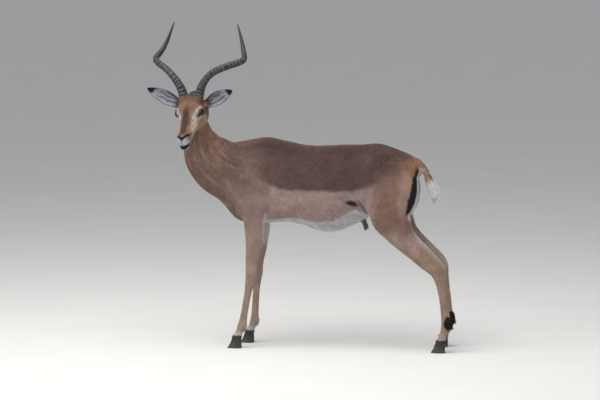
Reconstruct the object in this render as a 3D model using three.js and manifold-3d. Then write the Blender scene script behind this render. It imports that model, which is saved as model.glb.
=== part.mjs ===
// A life-size impala ram standing square, its head turned to its own left.
// Millimetres. +Z is up, the tail points along +X, and the ram's left side faces -Y.
// The origin lies on the ground, under the middle of the whole animal.
//
// The flesh is one smooth field, negative inside: a barrel for the trunk and a tapered limb for the neck, the head,
// the tail and each leg, melted together. Rings of rays find its surface, the lofts are joined into one solid,
// and thin slabs then part that solid into the pieces a person would name.

import * as THREE from "three";
import { mergeVertices } from "three/addons/utils/BufferGeometryUtils.js";
import Module from "manifold-3d";

const wasm = await Module();
wasm.setup();

// ---------------------------------------------------------------- driving dimensions

const WITHERS = 899; // height of the back over the shoulder
const ELBOW = 560; // heights of the leg joints
const KNEE = 312;
const HOCK = 358;
const FETLOCK = 96;
const CORONET = 50;
const FORE_TRACK = 84; // from the midline to each fore hoof
const HIND_TRACK = 90; // and to each hind hoof
const FORE_LEFT_REACH = -40; // how far each foot stands ahead (-) of or behind its knee or hock
const FORE_RIGHT_REACH = -14;
const HIND_REACH = 40;
const HEAD_AT = [-546, -110, 1083]; // the crown, between the horns
const HEAD_TURN = 76; // degrees from straight ahead to the ram's left
const HEAD_DROP = 57; // degrees that the face slopes down
const HEAD_ROLL = 3.5; // degrees that its right side is carried higher
const FACE = 232; // crown to nose tip
const EYE_RADIUS = 17;
const EYE_AT = [49, 66, -32]; // out, down the face and into it, from the crown
const EAR = 175; // ear length
const HORN_BUTT = 18.5; // horn radius at the skull
const HORN_RIDGES = 12;
const HOOF_LENGTH = 62;
const HOOF_WIDTH = 19;
const CUT = 0.4; // thickness of the parting cuts

const COLOURS = {
  rufous: 0x9a6a48,
  fawn: 0xb58e6c,
  cream: 0xd8cfc2,
  horn: 0x3a3632,
  hoof: 0x1d1b1a,
  eye: 0x120d0a,
};

// ---------------------------------------------------------------- small helpers

const V = (x, y, z) => new THREE.Vector3(x, y, z);
const mix = (a, b, t) => a + (b - a) * t;
const clamp01 = (t) => Math.min(1, Math.max(0, t));
const degrees = (d) => (d * Math.PI) / 180;

// Polynomial smooth union: the lower of two distances, melted together where they differ by less than k.
function melt(a, b, k) {
  const h = Math.max(k - Math.abs(a - b), 0) / k;
  return Math.min(a, b) - (h * h * k) / 4;
}

// Distance-like value of an ellipse with half axes a and b, for an offset with parts u, v and length len.
function beyond(u, v, along, len) {
  const r = Math.hypot(u, v, along);
  return r < 1e-6 ? -1e3 : len * (1 - 1 / r);
}

// Hermite curve through rows keyed by their first number, with finite-difference slopes.
function rowsAt(rows, x) {
  const last = rows.length - 1;
  let i = 0;
  while (i < last - 1 && rows[i + 1][0] < x) i++;
  const h = rows[i + 1][0] - rows[i][0];
  const t = clamp01((x - rows[i][0]) / h);
  const slope = (j, c) => {
    const a = Math.max(j - 1, 0);
    const b = Math.min(j + 1, last);
    return (rows[b][c] - rows[a][c]) / (rows[b][0] - rows[a][0]);
  };
  return rows[i].map((_, c) => {
    const m0 = slope(i, c) * h;
    const m1 = slope(i + 1, c) * h;
    const t2 = t * t;
    const t3 = t2 * t;
    return (
      (2 * t3 - 3 * t2 + 1) * rows[i][c] + (t3 - 2 * t2 + t) * m0 + (3 * t2 - 2 * t3) * rows[i + 1][c] + (t3 - t2) * m1
    );
  });
}

// ---------------------------------------------------------------- the shapes that make the field

// A body whose sections stand across X. Rows: x, top, bottom, half width, height of the widest level.
class Barrel {
  constructor(rows, square = 2.15) {
    this.rows = rows;
    this.square = square;
  }
  value(p) {
    const first = this.rows[0][0];
    const last = this.rows[this.rows.length - 1][0];
    const [, top, bottom, half, wide] = rowsAt(this.rows, Math.min(last, Math.max(first, p.x)));
    const dz = p.z - wide;
    const u = Math.abs(p.y) / half;
    const v = Math.abs(dz) / (dz > 0 ? top - wide : wide - bottom);
    const r = (u ** this.square + v ** this.square) ** (1 / this.square);
    const d = Math.hypot(p.y, dz) * (1 - 1 / Math.max(r, 1e-6));
    const past = Math.max(first - p.x, p.x - last, 0);
    return past > 0 ? Math.hypot(Math.max(d, 0), past) + Math.min(d, 0) : d;
  }
}

// A tapered limb along a curve. Rows: x, y, z, half width across, half depth towards tangent x side, half depth away.
class Limb {
  constructor(rows, { side = V(0, -1, 0), sideEnd = side, steps = 4, square = 2, frame = null } = {}) {
    const place = (x, y, z) => (frame ? V(x, y, z).applyMatrix4(frame) : V(x, y, z));
    this.path = new THREE.CatmullRomCurve3(rows.map((r) => place(r[0], r[1], r[2])), false, "catmullrom", 0.5);
    this.sizes = new THREE.CatmullRomCurve3(rows.map((r) => V(r[3], r[4], r[5])), false, "catmullrom", 0.5);
    this.side = frame ? side.clone().transformDirection(frame) : side;
    this.sideEnd = frame ? sideEnd.clone().transformDirection(frame) : sideEnd;
    this.square = square;
    const count = (rows.length - 1) * steps;
    this.samples = Array.from({ length: count + 1 }, (_, i) => this.at(i / count));
    this.box = new THREE.Box3().setFromPoints(this.samples.map((s) => s.centre));
    this.box.expandByScalar(Math.max(...this.samples.map((s) => Math.max(s.across, s.ahead, s.behind))) + 60);
  }
  at(t) {
    const size = this.sizes.getPoint(t);
    const tangent = this.path.getTangent(clamp01(t)).normalize();
    const side = this.side.clone().lerp(this.sideEnd, t * t * (3 - 2 * t));
    const front = tangent.clone().cross(side).normalize();
    return {
      centre: this.path.getPoint(t),
      tangent,
      front,
      side: front.clone().cross(tangent),
      across: size.x,
      ahead: size.y,
      behind: size.z,
    };
  }
  value(p) {
    if (!this.box.containsPoint(p)) return 1e3;
    let best = Infinity;
    for (let i = 0; i < this.samples.length - 1; i++) {
      const a = this.samples[i];
      const b = this.samples[i + 1];
      const span = b.centre.clone().sub(a.centre);
      const t = clamp01(p.clone().sub(a.centre).dot(span) / span.lengthSq());
      const q = p.clone().sub(a.centre).addScaledVector(span, -t);
      const su = q.dot(a.side) * (1 - t) + q.dot(b.side) * t;
      const sv = q.dot(a.front) * (1 - t) + q.dot(b.front) * t;
      const across = mix(a.across, b.across, t);
      const depth = sv > 0 ? mix(a.ahead, b.ahead, t) : mix(a.behind, b.behind, t);
      const length = q.length();
      const along = Math.sqrt(Math.max(length * length - su * su - sv * sv, 0));
      const r = (Math.abs(su / across) ** this.square + Math.abs(sv / depth) ** this.square) ** (1 / this.square);
      best = Math.min(best, beyond(r, 0, along / Math.min(across, depth), length));
    }
    return best;
  }
}

// An ellipsoid, such as the swell of one muscle. Its long axes turn about Y by tilt degrees.
class Swell {
  constructor(centre, radii, { tilt = 0, frame = null } = {}) {
    this.inverse = new THREE.Matrix4().makeRotationY(degrees(tilt)).setPosition(...centre);
    if (frame) this.inverse.premultiply(frame);
    this.inverse.invert();
    this.radii = radii;
  }
  value(p) {
    const q = p.clone().applyMatrix4(this.inverse);
    return beyond(q.x / this.radii[0], q.y / this.radii[1], q.z / this.radii[2], q.length());
  }
}

// ---------------------------------------------------------------- the ram's measurements

const TRUNK_ROWS = [
  [-398, 740, 645, 24, 690],
  [-372, 832, 586, 58, 700],
  [-330, 868, 553, 80, 705],
  [-280, 888, 539, 94, 700],
  [-224, WITHERS, 537, 103, 695],
  [-150, 889, 540, 112, 690],
  [-86, 875, 533, 118, 685],
  [-20, 869, 511, 122, 680],
  [40, 871, 500, 123, 680],
  [100, 875, 513, 119, 688],
  [172, 876, 549, 108, 700],
  [250, 881, 584, 98, 718],
  [302, 869, 620, 93, 732],
  [345, 853, 655, 86, 745],
  [388, 835, 690, 73, 757],
  [420, 812, 730, 52, 769],
  [436, 792, 754, 26, 772],
];

const NECK_ROWS = [
  [-262, 0, 735, 84, 140, 150],
  [-348, -1, 757, 76, 122, 149],
  [-427, -5, 790, 67, 104, 140],
  [-485, -12, 836, 60, 90, 115],
  [-518, -20, 890, 56, 74, 86],
  [-532, -28, 944, 53, 56, 58],
  [-538, -45, 990, 49, 42, 50],
  [-541, -60, 1020, 40, 27, 40],
];

const TAIL_ROWS = [
  [404, 0, 800, 24, 22, 22],
  [431, 0, 787, 17, 14, 15],
  [451, 1, 760, 13, 11, 13],
  [466, 3, 732, 14, 12, 14],
  [479, 5, 704, 18, 14, 18],
  [489, 7, 670, 19, 14, 17],
  [491, 8, 640, 9, 7, 8],
];

// Rows down each leg for y on the ram's left; mirrored, and the foot set forward or back, for its right.
const foreRows = (reach) => [
  [-268, 52, 720, 40, 66, 70],
  [-270, 62, 650, 44, 66, 62],
  [-274, 72, 596, 41, 54, 52],
  [-275, 78, ELBOW, 36, 46, 47],
  [-272, 81, 502, 30, 42, 42],
  [-275, 82, 460, 27, 36, 38],
  [-279, 83, 415, 25, 31, 34],
  [-284, 83, 370, 23.5, 27, 28],
  [-286, 83, 336, 23.5, 25, 25],
  [-287, 83, KNEE, 23.5, 24, 25],
  [mix(-288, -287 + reach, 0.13), 83, 282, 19.5, 20, 22],
  [mix(-288, -287 + reach, 0.32), 83.5, 240, 15.5, 16, 17.5],
  [mix(-288, -287 + reach, 0.52), 84, 195, 14.5, 15.5, 17],
  [mix(-288, -287 + reach, 0.7), 84, 155, 14.5, 15.5, 17],
  [mix(-288, -287 + reach, 0.86), FORE_TRACK, 120, 16, 17, 19],
  [-287 + reach, FORE_TRACK, FETLOCK, 18.5, 20, 22],
  [-297 + reach, FORE_TRACK, 72, 15, 16, 18],
  [-306 + reach, FORE_TRACK, CORONET, 18, 20, 20],
  [-312 + reach, FORE_TRACK, 30, 18, 22, 20],
];

const hindRows = (shift) => [
  [305 + shift, 46, 770, 40, 84, 84],
  [322 + shift, 56, 710, 47, 98, 108],
  [324 + shift, 63, 655, 52, 104, 106],
  [318 + shift, 70, 610, 53, 100, 94],
  [320 + shift, 76, 573, 50, 90, 84],
  [339 + shift, 80, 534, 43, 73, 71],
  [364 + shift, 84, 497, 36, 58, 57],
  [393 + shift, 86, 466, 30, 51, 51],
  [432 + shift, 88, 431, 25.5, 46, 47],
  [471 + shift, 89, 397, 22, 44, 44],
  [511 + shift, 89, HOCK, 23, 37, 40],
  [529 + shift, 89, 309, 19.5, 25, 25],
  [538 + shift, 89.5, 258, 15.5, 19.5, 21],
  [mix(538, 513 + HIND_REACH, 0.45) + shift, HIND_TRACK, 215, 14.5, 19, 20],
  [mix(538, 513 + HIND_REACH, 0.8) + shift, HIND_TRACK, 170, 14.5, 19, 20],
  [513 + HIND_REACH + shift, HIND_TRACK, 122, 17, 20, 23],
  [512 + HIND_REACH + shift, HIND_TRACK, FETLOCK + 8, 18.5, 21, 26],
  [503 + HIND_REACH + shift, HIND_TRACK, 78, 15, 17, 18],
  [494 + HIND_REACH + shift, HIND_TRACK, CORONET + 2, 18, 20, 20],
  [488 + HIND_REACH + shift, HIND_TRACK, 30, 18, 22, 20],
];

// The head's own frame: x towards the ram's right, y down the face from the crown, z out of the face.
const headFrame = (() => {
  const turn = degrees(HEAD_TURN);
  const drop = degrees(HEAD_DROP);
  const ahead = V(-Math.cos(turn), -Math.sin(turn), 0);
  const down = ahead.clone().multiplyScalar(Math.cos(drop)).add(V(0, 0, -Math.sin(drop)));
  const right = ahead.clone().cross(V(0, 0, 1));
  for (const axis of [right, down]) axis.applyAxisAngle(ahead, degrees(HEAD_ROLL));
  return new THREE.Matrix4().makeBasis(right, down, right.clone().cross(down)).setPosition(...HEAD_AT);
})();

// Rows down the head, in its frame: x, y, z, half width, depth to the face's ridge, depth to the jaw.
const HEAD_ROWS = [
  [0, -26, -40, 26, 18, 22],
  [0, -10, -42, 41, 36, 42],
  [0, 12, -43, 47, 43, 68],
  [0, 36, -40, 51, 43, 87],
  [0, 62, -36, 51, 39, 84],
  [0, 90, -36, 42, 35, 70],
  [0, 120, -36, 33, 33, 57],
  [0, 152, -34, 28, 30, 46],
  [0, 180, -32, 25.5, 27, 38],
  [0, 202, -32, 25, 24, 32],
  [0, FACE - 18, -34, 21, 18, 26],
  [0, FACE - 10, -37, 15, 11, 18],
];

const headSwells = [-1, 1].flatMap((s) => [
  new Swell([s * 34, 30, -86], [19, 46, 40], { frame: headFrame }), // cheek muscle
  new Swell([s * 43, 63, -28], [14, 27, 21], { frame: headFrame }), // rim of the eye socket
  new Swell([s * 35, 3, -15], [22, 30, 20], { frame: headFrame }), // foot of the horn
  new Swell([s * 14, FACE - 32, -29], [12.5, 20, 18], { frame: headFrame }), // side of the muzzle
  new Swell([s * 17, 187, -18], [9.5, 14, 9], { frame: headFrame }), // wing of the nostril
  new Swell([s * 6, FACE - 15, -51], [11, 13, 11], { frame: headFrame }), // chin
]);

// ---------------------------------------------------------------- the field

const trunk = new Barrel(TRUNK_ROWS);
const neck = new Limb(NECK_ROWS, { sideEnd: V(0.94, -0.34, 0) });
const tail = new Limb(TAIL_ROWS);
const head = new Limb(HEAD_ROWS, { side: V(-1, 0, 0), square: 2.2, frame: headFrame });
const mirrorY = (rows, s) => rows.map(([x, y, ...rest]) => [x, s * y, ...rest]);

const legs = {
  fore_left: new Limb(mirrorY(foreRows(FORE_LEFT_REACH), -1)),
  fore_right: new Limb(mirrorY(foreRows(FORE_RIGHT_REACH), 1)),
  hind_left: new Limb(mirrorY(hindRows(0), -1)),
  hind_right: new Limb(mirrorY(hindRows(-8), 1)),
};

const bodySwells = [-1, 1].flatMap((s) => [
  new Swell([-262, s * 60, 690], [60, 46, 118], { tilt: 22 }), // shoulder blade and its muscle
  new Swell([-318, s * 46, 640], [48, 40, 70], { tilt: -24 }), // point of the shoulder
  new Swell([262, s * 55, 806], [50, 38, 40]), // hip
]);
const sheath = new Limb([
  [108, 0, 543, 18, 16, 18],
  [150, 0, 554, 15, 14, 16],
  [180, 0, 556, 12, 12, 12],
  [193, 0, 534, 10, 9, 9],
  [194, 0, 514, 5, 5, 5],
]);
const brisket = new Swell([-330, 0, 612], [72, 44, 66], { tilt: 30 });

const trunkField = (p) => {
  let d = trunk.value(p);
  for (const s of bodySwells) d = melt(d, s.value(p), 40);
  return melt(melt(d, brisket.value(p), 40), sheath.value(p), 14);
};
const headField = (p) => {
  let d = head.value(p);
  for (const s of headSwells) d = melt(d, s.value(p), 12);
  return d;
};
const field = (p) => {
  let d = melt(trunkField(p), neck.value(p), 60);
  d = melt(d, headField(p), 26);
  for (const leg of Object.values(legs)) d = melt(d, leg.value(p), 34);
  return melt(d, tail.value(p), 16);
};

// ---------------------------------------------------------------- lofts, from rays cast out of each ring's centre

// How far from a centre the surface lies, no further than most.
function reach(centre, direction, surface, most) {
  const step = 4;
  let near = 0;
  for (let far = step; far <= most; far += step) {
    if (surface(centre.clone().addScaledVector(direction, far)) > 0) {
      for (let i = 0, low = near, high = far; i < 12; i++) {
        const middle = (low + high) / 2;
        if (surface(centre.clone().addScaledVector(direction, middle)) > 0) high = middle;
        else low = middle;
        near = (low + high) / 2;
      }
      return near;
    }
    near = far;
  }
  return most;
}

// A closed mesh from rings of points, each ring running the same way round, with a point at each end.
function loftOf(rings, start, end) {
  const around = rings[0].length;
  const points = [start, ...rings.flat(), end];
  const index = [];
  const id = (i, j) => 1 + i * around + ((j + around) % around);
  for (let j = 0; j < around; j++) {
    index.push(0, id(0, j + 1), id(0, j));
    for (let i = 0; i < rings.length - 1; i++) {
      index.push(id(i, j), id(i, j + 1), id(i + 1, j + 1), id(i, j), id(i + 1, j + 1), id(i + 1, j));
    }
    index.push(points.length - 1, id(rings.length - 1, j), id(rings.length - 1, j + 1));
  }
  const geometry = new THREE.BufferGeometry().setFromPoints(points);
  geometry.setIndex(index);
  return geometry;
}

function solidOf(geometry) {
  const bare = geometry.clone();
  for (const name of Object.keys(bare.attributes)) if (name !== "position") bare.deleteAttribute(name);
  const merged = mergeVertices(bare, 1e-3);
  const make = (triVerts) =>
    new wasm.Manifold(
      new wasm.Mesh({ numProp: 3, vertProperties: merged.attributes.position.array, triVerts }),
    );
  const triVerts = new Uint32Array(merged.index.array);
  const made = make(triVerts);
  return made.volume() > 0 ? made : make(triVerts.map((_, i) => triVerts[i - (i % 3) + [0, 2, 1][i % 3]]));
}

// A limb's solid: rings at the given shares of its length, drawn out to the surface but never far past its own size.
function limbSolid(limb, shares, around, surface, spare) {
  const rings = shares.map((t) => {
    const s = limb.at(t);
    return Array.from({ length: around }, (_, j) => {
      const angle = (2 * Math.PI * (j + 0.5)) / around;
      const u = Math.cos(angle) * s.across;
      const v = Math.sin(angle) * (Math.sin(angle) > 0 ? s.ahead : s.behind);
      const ray = s.side.clone().multiplyScalar(u).addScaledVector(s.front, v);
      const own = ray.length();
      ray.normalize();
      return s.centre.clone().addScaledVector(ray, reach(s.centre, ray, surface, own + spare));
    });
  });
  const cap = (t, out) => {
    const s = limb.at(t);
    const along = s.tangent.clone().multiplyScalar(out);
    return s.centre.clone().addScaledVector(along, reach(s.centre, along, surface, s.across * 0.8));
  };
  return solidOf(loftOf(rings, cap(shares[0], -1), cap(shares[shares.length - 1], 1)));
}

const evenly = (count, from = 0, to = 1) =>
  Array.from({ length: count }, (_, i) => mix(from, to, i / (count - 1)));

function trunkSolid() {
  const around = 22;
  const first = TRUNK_ROWS[0][0];
  const last = TRUNK_ROWS[TRUNK_ROWS.length - 1][0];
  const rings = evenly(21).map((t) => {
    const x = mix(first, last, 0.5 - 0.5 * Math.cos(Math.PI * mix(0.02, 0.98, t)) * 0.6 + 0.4 * (t - 0.5));
    const wide = rowsAt(TRUNK_ROWS, x)[4];
    return Array.from({ length: around }, (_, j) => {
      const angle = (2 * Math.PI * j) / around;
      const ray = V(0, Math.sin(angle), Math.cos(angle));
      const centre = V(x, 0, wide);
      return centre.addScaledVector(ray, reach(V(x, 0, wide), ray, trunkField, 260));
    });
  });
  const end = (x, out) => V(x, 0, rowsAt(TRUNK_ROWS, x)[4]).add(V(out, 0, 0));
  return solidOf(loftOf(rings, end(first, -4), end(last, 6)));
}

// ---------------------------------------------------------------- horns, ears, hooves and eyes

// One horn's curve from the crown: out, back and up.
const HORN_PATH = [
  [33, 18, -20],
  [41, 18, 14],
  [51, 13, 40],
  [75, 9, 75],
  [103, 13, 101],
  [135, 28, 119],
  [167, 49, 132],
  [194, 77, 143],
  [206, 104, 153],
  [201, 123, 168],
  [189, 141, 192],
  [177, 154, 223],
  [163, 162, 264],
  [148, 167, 307],
];

const headLevel = (s) => {
  const turn = degrees(HEAD_TURN);
  const ahead = V(-Math.cos(turn), -Math.sin(turn), 0);
  return { ahead, out: V(0, 0, s).cross(ahead) };
};

function hornPath(s) {
  const { ahead, out } = headLevel(s);
  const points = HORN_PATH.map(([wide, behind, up]) =>
    V(...HEAD_AT).addScaledVector(out, wide).addScaledVector(ahead, -behind).add(V(0, 0, up)),
  );
  return new THREE.CatmullRomCurve3(points);
}

function hornSolid(s) {
  const { out } = headLevel(s);
  const path = hornPath(s);
  const ridged = 0.66; // the share of the horn that carries ridges
  const stops = [...evenly(HORN_RIDGES * 2 + 1, 0, ridged), ...evenly(7, ridged + 0.04, 0.985)];
  const around = 9;
  const rings = stops.map((t, i) => {
    const tangent = path.getTangentAt(t);
    const front = out.clone().cross(tangent).multiplyScalar(s).normalize();
    const side = tangent.clone().cross(front);
    const taper = HORN_BUTT * (1 - 0.5 * t) * (1 - clamp01((t - 0.6) / 0.4) ** 1.6) ** 0.8 + 1.4 * t;
    const ridge = t < ridged && i > 1 ? (i % 2 ? 1.5 : -0.9) * (1 - 0.5 * t) : 0;
    return Array.from({ length: around }, (_, j) => {
      const angle = (2 * Math.PI * j) / around;
      const r = taper + ridge * (1 + 0.4 * Math.sin(angle));
      return path
        .getPointAt(t)
        .addScaledVector(side, r * 0.9 * Math.cos(angle))
        .addScaledVector(front, r * 1.08 * Math.sin(angle));
    });
  });
  return solidOf(loftOf(rings, path.getPointAt(0), path.getPointAt(1)));
}

// Rows along the ear: share of its length, half width, depth of the cup, thickness.
const EAR_ROWS = [
  [0, 15, 13, 7],
  [0.12, 18, 17, 6],
  [0.28, 25, 18, 5.5],
  [0.45, 29, 15, 5],
  [0.62, 27, 11, 4.6],
  [0.78, 20, 7, 4.2],
  [0.9, 12, 4, 4],
  [1, 3, 1, 3.6],
];
const EAR_AT = [47, 20, -52]; // in the head's frame
const EAR_RISE = 25.5; // degrees above level, seen from ahead
const EAR_BACK = -14; // degrees swept back

function earAxes(s) {
  const { ahead, out } = headLevel(s);
  const rise = degrees(EAR_RISE + (s < 0 ? 2 : 0)); // the right ear is pricked higher
  const sweep = degrees(EAR_BACK);
  const axis = out.clone().multiplyScalar(Math.cos(rise) * Math.cos(sweep));
  axis.add(V(0, 0, Math.sin(rise))).addScaledVector(ahead, -Math.sin(sweep)).normalize();
  const across = axis.clone().cross(ahead).multiplyScalar(s).normalize();
  const facing = across.clone().cross(axis).multiplyScalar(s).normalize();
  return { axis, across, facing, root: V(-s * EAR_AT[0], EAR_AT[1], EAR_AT[2]).applyMatrix4(headFrame) };
}

function earSolid(s) {
  const { axis, across, facing, root } = earAxes(s);
  const half = 6; // steps across each face of the ear
  const rings = evenly(10, 0, 0.985).map((t) => {
    const [, width, cup, thick] = rowsAt(EAR_ROWS, t);
    const droop = -10 * t * t; // the tip curls a little down and in
    const middle = root.clone().addScaledVector(axis, t * EAR).add(V(0, 0, droop * 0.4));
    const point = (v, lift) =>
      middle
        .clone()
        .addScaledVector(across, v * width)
        .addScaledVector(facing, -cup * (1 - v * v) + lift * thick * 0.5 * Math.sqrt(1.02 - v * v * 0.9));
    const front = evenly(half, -1, 1).map((v) => point(v, 1));
    const rear = evenly(half, 1, -1).map((v) => point(v, -1));
    return [...front, ...rear];
  });
  const tip = root.clone().addScaledVector(axis, EAR).add(V(0, 0, -4));
  return solidOf(loftOf(rings, root.clone().addScaledVector(facing, -6), tip));
}

// One claw of a hoof: level rings, narrowing upwards, with a straight inner wall and a pointed toe.
function clawSolid(x, y, outward) {
  const heights = [0, 14, 54];
  const around = 12;
  const rings = heights.map((z) => {
    const up = z / 54;
    const length = mix(HOOF_LENGTH, HOOF_LENGTH * 0.56, up);
    const width = mix(HOOF_WIDTH, HOOF_WIDTH * 0.86, up);
    const heel = x + mix(24, 20, up);
    return Array.from({ length: around }, (_, j) => {
      const angle = (2 * Math.PI * j) / around;
      const share = (1 + Math.cos(angle)) / 2; // 0 at the heel, 1 at the toe
      const bulge = Math.sin(angle) > 0 ? width : 1.2;
      const side = bulge * Math.abs(Math.sin(angle)) ** 0.75 * Math.sign(Math.sin(angle)) * (1.06 - 0.3 * share);
      return V(heel - share * length, y + outward * (1.3 + side), z);
    });
  });
  const middle = (z) => V(x - 6, y + outward * (1.3 + HOOF_WIDTH / 3), z);
  return solidOf(loftOf(rings, middle(0), middle(54)));
}

const eyeGeometry = (s, radius) => {
  const at = V(-s * EYE_AT[0], EYE_AT[1], EYE_AT[2]).applyMatrix4(headFrame);
  return new THREE.SphereGeometry(radius, 12, 8).translate(at.x, at.y, at.z);
};

// ---------------------------------------------------------------- joining, then parting with thin slabs

// A slab as thin as a parting cut, lying across a direction.
function slab(at, across, wide, tall = wide) {
  const g = new THREE.BoxGeometry(wide, tall, CUT);
  g.applyQuaternion(new THREE.Quaternion().setFromUnitVectors(V(0, 0, 1), across.clone().normalize()));
  return solidOf(g.translate(at.x, at.y, at.z));
}

// The space that holds one leg: a side outline pushed outwards from the midline, rising as it goes.
function legSpace(outline, s, rise, grow) {
  const points = outline.map(([x, z]) => new THREE.Vector2(x, z));
  const middle = points.reduce((a, b) => a.clone().add(b), new THREE.Vector2()).divideScalar(points.length);
  const grown = points.map((p) => p.clone().sub(middle).setLength(p.distanceTo(middle) + grow).add(middle));
  const g = new THREE.ExtrudeGeometry(new THREE.Shape(grown), { depth: 190, bevelEnabled: false });
  const at = g.attributes.position;
  for (let i = 0; i < at.count; i++) at.setXYZ(i, at.getX(i), s * at.getZ(i), at.getY(i) + rise * at.getZ(i));
  return solidOf(g);
}

const FORE_SPACE = [
  [-480, -190],
  [-150, -190],
  [-206, 440],
  [-214, 490],
  [-270, 520],
  [-330, 512],
  [-380, 470],
];
const HIND_SPACE = [
  [150, -190],
  [700, -190],
  [700, 470],
  [520, 540],
  [450, 640],
  [446, 705],
  [350, 640],
  [260, 566],
  [202, 520],
  [196, 430],
];

const FEET = {
  fore_left: { x: -312 + FORE_LEFT_REACH, y: -FORE_TRACK },
  fore_right: { x: -312 + FORE_RIGHT_REACH, y: FORE_TRACK },
  hind_left: { x: 487 + HIND_REACH, y: -HIND_TRACK },
  hind_right: { x: 479 + HIND_REACH, y: HIND_TRACK },
};

let whole = trunkSolid()
  .add(limbSolid(neck, evenly(10, 0, 0.98), 18, field, 8))
  .add(limbSolid(head, evenly(18, 0.02, 1), 20, headField, 30))
  .add(limbSolid(tail, evenly(10, 0, 0.97), 10, field, 1));
for (const [name, leg] of Object.entries(legs)) {
  const hind = name.startsWith("hind");
  whole = whole.add(limbSolid(leg, evenly(hind ? 22 : 18, 0, 1), hind ? 13 : 12, field, hind ? 9 : 7));
  const { x, y } = FEET[name];
  const under = new THREE.BoxGeometry(140, 120, 60).translate(x, y, CORONET - 30); // the hoof takes over here
  whole = whole.subtract(solidOf(under));
  for (const s of [-1, 1]) whole = whole.add(clawSolid(x, y, s));
}

const SIDES = { left: 1, right: -1 };
const nodes = {};
const anchors = { trunk: V(0, 0, 680), neck: V(-500, -5, 880), head: V(0, 60, -50).applyMatrix4(headFrame) };
anchors.tail = tail.at(0.6).centre;
for (const [side, s] of Object.entries(SIDES)) {
  const ear = earAxes(s);
  const horn = hornPath(s);
  whole = whole.add(earSolid(s)).add(hornSolid(s));
  whole = whole.subtract(solidOf(eyeGeometry(s, EYE_RADIUS + CUT)));
  whole = whole.subtract(slab(horn.getPointAt(0.1), horn.getTangentAt(0.1), 62));
  whole = whole.subtract(slab(ear.root.clone().addScaledVector(ear.axis, 16), ear.axis, 58));
  anchors["horn_" + side] = horn.getPointAt(0.5);
  anchors["ear_" + side] = ear.root.clone().addScaledVector(ear.axis, 70).addScaledVector(ear.facing, -12);
  nodes["eye_" + side] = solidOf(eyeGeometry(s, EYE_RADIUS));
}
whole = whole.subtract(slab(V(-352, 0, 770), V(0.924, 0, -0.38), 400, 520));
whole = whole.subtract(slab(tail.at(0.37).centre, tail.at(0.37).tangent, 56));
{
  const { ahead } = headLevel(1);
  const at = V(...HEAD_AT).addScaledVector(ahead, -60).add(V(0, 0, -118));
  whole = whole.subtract(slab(at, ahead.clone().multiplyScalar(-0.827).add(V(0, 0, -0.562)), 230));
}

for (const [name, leg] of Object.entries(legs)) {
  const hind = name.startsWith("hind");
  const s = name.endsWith("left") ? -1 : 1;
  const space = (grow) => (hind ? legSpace(HIND_SPACE, s, 1.15, grow) : legSpace(FORE_SPACE, s, 1.05, grow));
  const joint = leg.at(hind ? 0.53 : 0.52);
  const { x, y } = FEET[name];
  let part = whole.intersect(space(0)).subtract(slab(joint.centre, joint.tangent, 120));
  part = part.subtract(slab(V(x, y, CORONET), V(0, 0, 1), 140, 110));
  whole = whole.subtract(space(2 * CUT));
  const high = leg.at(hind ? 0.35 : 0.3).centre;
  const low = leg.at(0.75).centre;
  const found = part.decompose();
  nodes[name + "_upper"] = pick(found, high);
  nodes[name + "_lower"] = pick(found, low);
  nodes[name + "_claw_inner"] = pick(found, V(x - 8, y - s * 8, 20));
  nodes[name + "_claw_outer"] = pick(found, V(x - 8, y + s * 8, 20));
}
{
  const found = whole.decompose();
  for (const [name, at] of Object.entries(anchors)) nodes[name] = pick(found, at);
}

// The one piece that holds a point.
function pick(found, at) {
  const probe = solidOf(new THREE.SphereGeometry(2.5, 6, 4).translate(at.x, at.y, at.z));
  const held = found.map((f) => f.intersect(probe).volume());
  const most = Math.max(...held);
  if (most <= 0) throw new Error("no piece holds " + at.toArray().map(Math.round));
  return found[held.indexOf(most)];
}

// ---------------------------------------------------------------- the finished group

const SURFACES = {
  claw: ["hoof", 0.45],
  horn: ["horn", 0.5],
  eye: ["eye", 0.08],
  ear: ["fawn", 0.9],
  head: ["rufous", 0.9],
  tail: ["cream", 0.95],
  lower: ["fawn", 0.9],
};

const model = new THREE.Group();
for (const [name, solid] of Object.entries(nodes)) {
  const { vertProperties, triVerts } = solid.getMesh();
  const geometry = new THREE.BufferGeometry();
  geometry.setAttribute("position", new THREE.BufferAttribute(new Float32Array(vertProperties), 3));
  geometry.setIndex(new THREE.BufferAttribute(new Uint32Array(triVerts), 1));
  const kind = Object.keys(SURFACES).find((k) => name.includes(k));
  const [colour, roughness] = SURFACES[kind] ?? ["rufous", 0.9];
  const mesh = new THREE.Mesh(
    geometry,
    new THREE.MeshStandardMaterial({ color: COLOURS[colour], roughness, metalness: 0 }),
  );
  mesh.name = name;
  model.add(mesh);
}
const bounds = new THREE.Box3().setFromObject(model);
const middle = bounds.getCenter(V(0, 0, 0));
model.position.set(-middle.x, -middle.y, -bounds.min.z);

export default model;
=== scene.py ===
"""Looks of the life-size impala ram: skin, coat, eyes, horns, hooves and the stage around them."""

import math

import bmesh
import bpy
import numpy as np
from bpy.props import FloatProperty, FloatVectorProperty, IntProperty, PointerProperty
from mathutils import Matrix, Vector


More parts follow.
